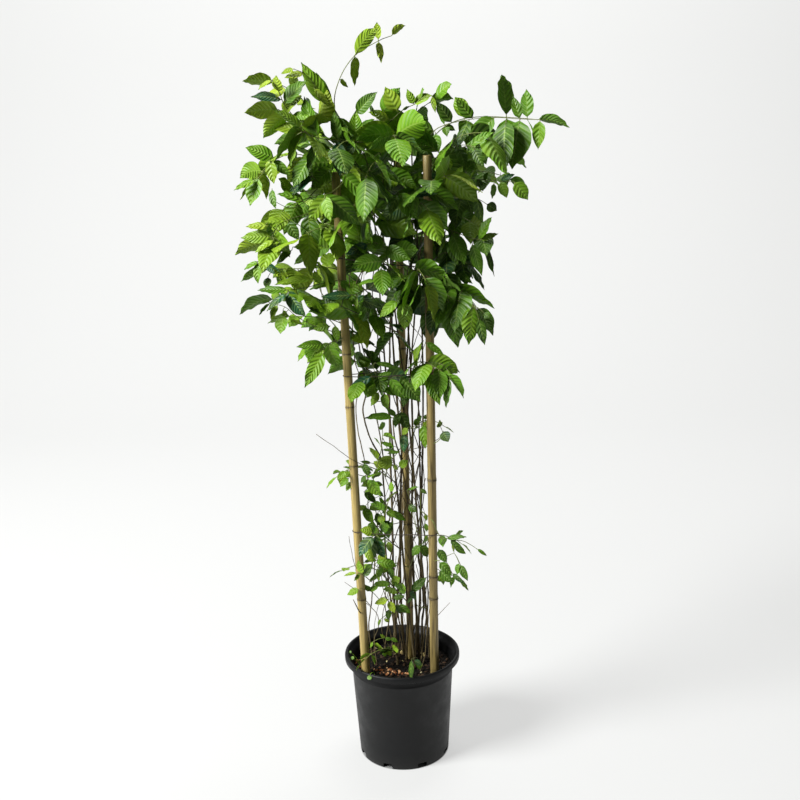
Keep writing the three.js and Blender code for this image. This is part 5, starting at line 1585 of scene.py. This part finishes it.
        (361.5, 574, 358.5, 559.5, 0.5, 0.7), (357, 573, 343.7, 576, 0.42, 0.7),
        (360, 575, 354, 581, 0.5, 0.7), (364, 575, 372, 567, 0.5, 0.16),
    )),
    "low_pair": ((0, -60), ((384, 605), (378, 598), (372, 592), (364, 589)), (
        (369, 590, 379, 586, 0.6, 0.4), (370, 592, 365, 584.5, 0.6, 0.36), (359, 589, 347, 595, 0.6, 0.5),
    )),
    "low_pale": ((0, -45), ((395, 614), (391, 606), (388, 600)), (
        (387, 599, 374.5, 604, 0.62, 0.95), (388, 601, 395, 613, 0.55, 0.9),
        (393, 598, 405, 596, 0.45, 0.14), (393, 582, 403, 591, 0.4, 0.12), (398, 605, 411, 613, 0.5, 0.25),
        (396, 604, 401, 614, 0.5, 0.2), (389, 609, 388, 620, 0.5, 0.16), (381, 619, 378, 626, 0.5, 0.6),
        (384, 619, 390, 622, 0.5, 0.75),
    )),
    "low_right_big": ((0, -40), ((418, 606), (414, 598), (411, 592)), (
        (411, 591, 427, 577, 0.42, 0.2), (411, 590, 416, 600, 0.5, 0.16), (413, 597, 407, 604, 0.45, 0.14),
    )),
    "right_side": ((-70, -110), (
        (432, 520), (437, 531), (442, 538.6), (448, 538), (453, 540), (463, 541), (471, 545), (477, 549),
    ), (
        (446, 538, 467, 537, 0.3, 0.16), (450, 539, 465, 552, 0.36, 0.12), (447, 538, 441, 545, 0.4, 0.2),
        (477, 549, 487, 556, 0.28, 0.5),
    )),
    "heart": ((-62, -80), ((432, 444), (438, 441), (442, 436), (443, 431)), (
        (443, 431, 448.5, 442, 0.95, 0.13),
    )),
    "low_long": ((20, -30), ((404, 396), (402, 407), (397, 415), (393, 418)), (
        (393, 418, 364, 418.5, 0.32, 0.36), (401, 412, 409, 430, 0.5, 0.2), (399, 413, 395, 428, 0.5, 0.3),
        (396, 416, 386, 408, 0.4, 0.3),
    )),
    "right_low_twigs": ((-60, -110), ((434, 562), (440, 560), (447, 556), (454, 553)), (
        (438, 549, 447, 563, 0.5, 0.2), (439, 562, 452, 576, 0.5, 0.16), (439, 570, 453, 583, 0.5, 0.16),
        (452, 573, 465, 584, 0.3, 0.16), (459, 563, 457, 575, 0.5, 0.3), (460, 564, 468, 581, 0.4, 0.24),
        (454, 546, 466, 554, 0.42, 0.2),
    )),
    "pot_left": ((20, -10), ((392, 652), (388, 644), (385, 638)), (
        (386, 637, 380, 634, 0.5, 0.6), (386, 637, 392, 640, 0.5, 0.45), (391, 638, 398, 642, 0.5, 0.4),
        (384, 650, 377, 648, 0.5, 0.6), (385, 649, 392, 656, 0.5, 0.55), (383, 651, 386, 657, 0.5, 0.5),
        (373, 642, 370, 648, 0.5, 0.4),
    )),
    "over_rim": ((-60, -138), ((420, 668), (417, 658), (412, 659)), (
        (412, 660, 411, 682, 0.3, 0.12), (414, 660, 422, 665, 0.6, 0.2), (417, 661, 420, 670, 0.5, 0.14),
    )),
}
SPRAY_REACH = 1.5  # pixels from a spray within which a leaf sits right on it
SPRAY_TONE, SPRAY_TONE_SPREAD = 0.6, 0.05
SPRAY_RADIUS, STALK_RADIUS = (1.3, 0.7), 0.75  # millimetres: at a spray's foot, and what it loses; of a stalk
STALK_DEPTH = (2, 14)  # millimetres that a stalk comes forward
BLADE_FORWARD = (-0.15, 0.4)  # how far a blade leans to the front, as a share of its length
PIXEL_SIZE = 2.4  # millimetres that a pixel of the picture shows
FACING = Vector((-0.3, -0.78, 0.55))  # the side to which the sprays of the photograph hold their leaves
ROLL_SPREAD, TWIST, FOLD, DROOP = 0.3, 0.25, (0.12, 0.3), (0.04, 0.16)


def spray_leaf(base, tip, share, draw):
    """A leaf from its base to its tip, held to the light."""
    run = tip - base
    normal = Matrix.Rotation(draw.gauss(0, ROLL_SPREAD), 3, run.normalized()) @ FACING
    normal = (normal - run * normal.dot(run) / run.length_squared).normalized()
    side = run.cross(normal).normalized()
    twist = draw.uniform(-TWIST, TWIST)
    sections = [
        (place, Matrix.Rotation(twist * (place - 0.4), 3, run.normalized()) @ side,
         share * run.length / 2 * value_at(OUTLINE, place), draw.uniform(*FOLD))
        for place in SECTION_PLACES[3]
    ]
    bend = (base + tip) / 2 + normal * run.length * draw.uniform(*DROOP)
    return {"base": base, "bend": bend, "tip": tip, "sections": sections}


class CREEPER_OT_sprays(bpy.types.Operator):
    """Grows the sprays that stand out in the photograph, each from the stem or shoot nearest to its start"""

    bl_idname = "creeper.sprays"
    bl_label = "Fine sprays"

    def execute(self, context):
        finishes, s = leafy_finishes(context)
        carriers = [*STEM_POINTS, *(p for line in THIN_LINES.values() for p in line)]
        carriers += [p for line, _ in SHOOTS.values() for p in smooth_line(line, 5)]
        for name, ((near, far), path, leaves) in SPRAYS.items():
            draw = random.Random(name)
            last = len(path) - 1
            points = [seen_at(*pixel, near + (far - near) * i / last) for i, pixel in enumerate(path)]
            start = min(carriers, key=lambda p: (p - points[0]).length)
            line = smooth_line([start, *points], 6)
            count = len(line)
            bm = bmesh.new()
            layers = leafy(bm)
            thick, taper = SPRAY_RADIUS
            made = tube(bm, line, [(thick - taper * i / count) * MM for i in range(count)], 6)
            seen = [pixel_of(point) for point in line]
            blades = []
            for *ends, share, tone in leaves:
                foot, head = ends[:2], ends[2:]
                wanted = Vector(foot)
                nearest = min(range(count), key=lambda i: (seen[i] - wanted).length)
                base = line[nearest]
                if (seen[nearest] - wanted).length > SPRAY_REACH:
                    away = seen_at(*foot, base.y / MM - draw.uniform(*STALK_DEPTH))
                    middle = base.lerp(away, 0.5) + Vector((0, 0, 0.1 * (away - base).length))
                    stalk = smooth_line([base, middle, away], 3)
                    made += tube(bm, stalk, [STALK_RADIUS * MM] * len(stalk), 5)
                    base = away
                long = math.hypot(head[0] - foot[0], head[1] - foot[1])
                forward = draw.uniform(*BLADE_FORWARD) * long * PIXEL_SIZE
                leaf = spray_leaf(base, seen_at(*head, base.y / MM - forward), share, draw)
                blades += add_leaf(bm, layers, leaf, tone + draw.gauss(0, SPRAY_TONE_SPREAD), draw, s)
            for v in made:
                v[layers["tone"]] = SPRAY_TONE
            thicken(bm, blades, s.thickness)
            piece("spray_" + name, bm, finishes)
        return {"FINISHED"}


# Round seedling leaves at the rim: pixel across, pixel down, height and radius in millimetres
SEEDLINGS = ((369.6, 677.5, 274, 6.5), (352.5, 658, 270, 5.2), (350.3, 652, 274, 3.8))
# The dished leaf: rise in millimetres, share of its radius; and its tone by that share
SEEDLING_DISH = ((-0.6, 0.12), (-0.3, 0.8), (0.1, 1.0), (0.45, 0.95), (0.4, 0.6), (0.25, 0.3), (0.35, 0.08))
SEEDLING_TONES = {0.95: 0.16, 0.6: 0.4, 0.3: 0.16, 0.08: 0.5}
SEEDLING_STALK, SEEDLING_STALK_TONE = 0.6 * MM, 0.5
SEEDLING_FACING = Vector((-0.2, -0.6, 0.75)).normalized()
OVER_RIM = ((0.86, -5), (0.95, 2.5))  # where a stalk passes the rim: share of its reach, millimetres above it


class CREEPER_OT_seedlings(bpy.types.Operator):
    """Grows small round seedling leaves on thin stalks at the rim"""

    bl_idname = "creeper.seedlings"
    bl_label = "Seedlings"

    def execute(self, context):
        bm = bmesh.new()
        tone = bm.verts.layers.float.new("tone")
        facing = SEEDLING_FACING
        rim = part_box("pot")[1]
        for across, down, height, radius in SEEDLINGS:
            middle = on_level(across, down, height)
            root = Vector((middle.x * 0.8, middle.y * 0.8, 0))
            root.z = mix_height(root.x, root.y)
            path = [root, root.lerp(middle, 0.6) + Vector((0, 0, 4 * MM)), middle]
            if math.hypot(middle.x, middle.y) > rim.x:
                path[1:2] = [
                    Vector((middle.x * reach, middle.y * reach, rim.z + up * MM)) for reach, up in OVER_RIM
                ]
            stalk = smooth_line(path, 5)
            for v in tube(bm, stalk, [SEEDLING_STALK] * len(stalk), 6):
                v[tone] = SEEDLING_STALK_TONE
            points = [middle + facing * rise * MM for rise, _ in SEEDLING_DISH]
            sizes = [share * radius * MM for _, share in SEEDLING_DISH]
            for v in tube(bm, points, sizes, 16, heading=facing):
                out = (v.co - middle - facing * (v.co - middle).dot(facing)).length / (radius * MM)
                v[tone] = SEEDLING_TONES[min(SEEDLING_TONES, key=lambda share: abs(share - out))]
        piece("seedling_leaves", bm, [leaf_top(context.scene.creeper_leaves)])
        return {"FINISHED"}


# Stage


# The floor, its sweep up to the backdrop, and the lights, in metres
FLOOR_LEFT, FLOOR_WIDTH, FLOOR_FRONT = -3.6, 7.2, -1.3
SWEEP_START, SWEEP_RADIUS, SWEEP_STEPS, BACKDROP_TOP = 3, 2, 12, 3.2
SHADE_START, SHADE_END = 115 * MM, 119 * MM  # round the pot's middle
LAMPS = (  # with the setting of its power, its place, its target and its width
    ("key_light", "key_power", (-4.0, -2.0, 4.2), (0, 0, 1.0), 2.4),
    ("fill_light", "fill_power", (3.6, -2.8, 2.4), (0, 0, 1.0), 3.0),
    ("backdrop_light", "backdrop_power", (0.5, 1.6, 5.2), (0, 5, 1.6), 2.5),
)


def paper(settings):
    """Matt white paper, lit so brightly that it shines, but for the round under the pot."""
    made, add = material("matt white paper")
    out = add("VectorMath", {0: add("TexCoord").outputs["Object"]}, operation="LENGTH")
    lit = add("MapRange", {"Value": out, **from_to(SHADE_START, SHADE_END, 0, settings.floor_glow)})
    matt = add("BsdfPrincipled", {
        "Base Color": settings.floor, "Roughness": 0.95, "IOR": 1.45,
        "Emission Color": settings.glow, "Emission Strength": lit,
    })
    add("OutputMaterial", {"Surface": matt})
    return made


class CREEPER_OT_stage(bpy.types.Operator):
    """Sets the pale floor, the soft studio light and the camera"""

    bl_idname = "creeper.stage"
    bl_label = "Stage"

    def execute(self, context):
        s = context.scene.creeper_stage
        scene = context.scene
        bm = bmesh.new()
        profile = [(FLOOR_FRONT, 0), (SWEEP_START, 0)]
        for k in range(1, SWEEP_STEPS + 1):
            angle = math.pi * k / (2 * SWEEP_STEPS)
            out, down = SWEEP_RADIUS * math.sin(angle), SWEEP_RADIUS * math.cos(angle)
            profile.append((SWEEP_START + out, SWEEP_RADIUS - down))
        profile.append((SWEEP_START + SWEEP_RADIUS, BACKDROP_TOP))
        line = [bm.verts.new((FLOOR_LEFT, y, z)) for y, z in profile]
        edges = [bm.edges.new(pair) for pair in zip(line, line[1:])]
        drawn = bmesh.ops.extrude_edge_only(bm, edges=edges)["geom"]
        right = [v for v in drawn if isinstance(v, bmesh.types.BMVert)]
        bmesh.ops.translate(bm, verts=right, vec=(FLOOR_WIDTH, 0, 0))
        bmesh.ops.recalc_face_normals(bm, faces=bm.faces)
        floor = put_in_scene("floor", mesh_of("floor", bm))
        floor.data.shade_smooth()
        floor.data.materials.append(paper(s))
        for name, power, place, target, size in LAMPS:
            lamp = bpy.data.lights.new(name, "AREA")
            lamp.shape, lamp.size, lamp.energy = "DISK", size, getattr(s, power)
            holder = put_in_scene(name, lamp)
            holder.location = place
            holder.rotation_euler = (Vector(target) - Vector(place)).to_track_quat("-Z", "Y").to_euler()
        world = bpy.data.worlds.new("daylight")
        world.use_nodes = True
        world.node_tree.nodes.clear()
        sky = add_node(world.node_tree, "Background", {"Color": paint("#FFFFFF"), "Strength": s.daylight})
        add_node(world.node_tree, "OutputWorld", {"Surface": sky})
        scene.world = world
        scene.view_settings.view_transform = "Standard"
        lens = bpy.data.cameras.new("camera")
        lens.sensor_width, lens.lens = SENSOR, CAMERA["focal"] * SENSOR / PICTURE
        lens.clip_start, lens.clip_end = 0.05, 60
        camera = put_in_scene("camera", lens)
        camera.matrix_world = VIEW
        scene.camera = camera
        return {"FINISHED"}


OPERATORS = (
    CREEPER_OT_stage, CREEPER_OT_pot, CREEPER_OT_mix, CREEPER_OT_litter, CREEPER_OT_canes, CREEPER_OT_ties,
    CREEPER_OT_stems, CREEPER_OT_thin_stems, CREEPER_OT_shoots, CREEPER_OT_sprays, CREEPER_OT_seedlings,
)
SETTINGS = {
    "creeper_pot": PotSettings, "creeper_canes": CaneSettings, "creeper_ties": TieSettings,
    "creeper_stems": StemSettings, "creeper_leaves": LeafSettings, "creeper_mix": MixSettings,
    "creeper_stage": StageSettings,
}


class CREEPER_PT_panel(bpy.types.Panel):
    """Lists the creeper's pieces and their settings"""

    bl_idname = "CREEPER_PT_panel"
    bl_label = "Potted creeper"
    bl_space_type = "VIEW_3D"
    bl_region_type = "UI"
    bl_category = "Creeper"

    def draw(self, context):
        for each in OPERATORS:
            self.layout.operator(each.bl_idname)
        for name, group in SETTINGS.items():
            box = self.layout.box()
            for prop in group.__annotations__:
                box.prop(getattr(context.scene, name), prop)


def register():
    for each in (*SETTINGS.values(), *OPERATORS, CREEPER_PT_panel):
        bpy.utils.register_class(each)
    for name, group in SETTINGS.items():
        setattr(bpy.types.Scene, name, PointerProperty(type=group))


def unregister():
    for name in SETTINGS:
        delattr(bpy.types.Scene, name)
    for each in reversed((*SETTINGS.values(), *OPERATORS, CREEPER_PT_panel)):
        bpy.utils.unregister_class(each)


def main():
    register()
    for each in OPERATORS:
        group, name = each.bl_idname.split(".")
        getattr(getattr(bpy.ops, group), name)()


if __name__ == "__main__":
    main()
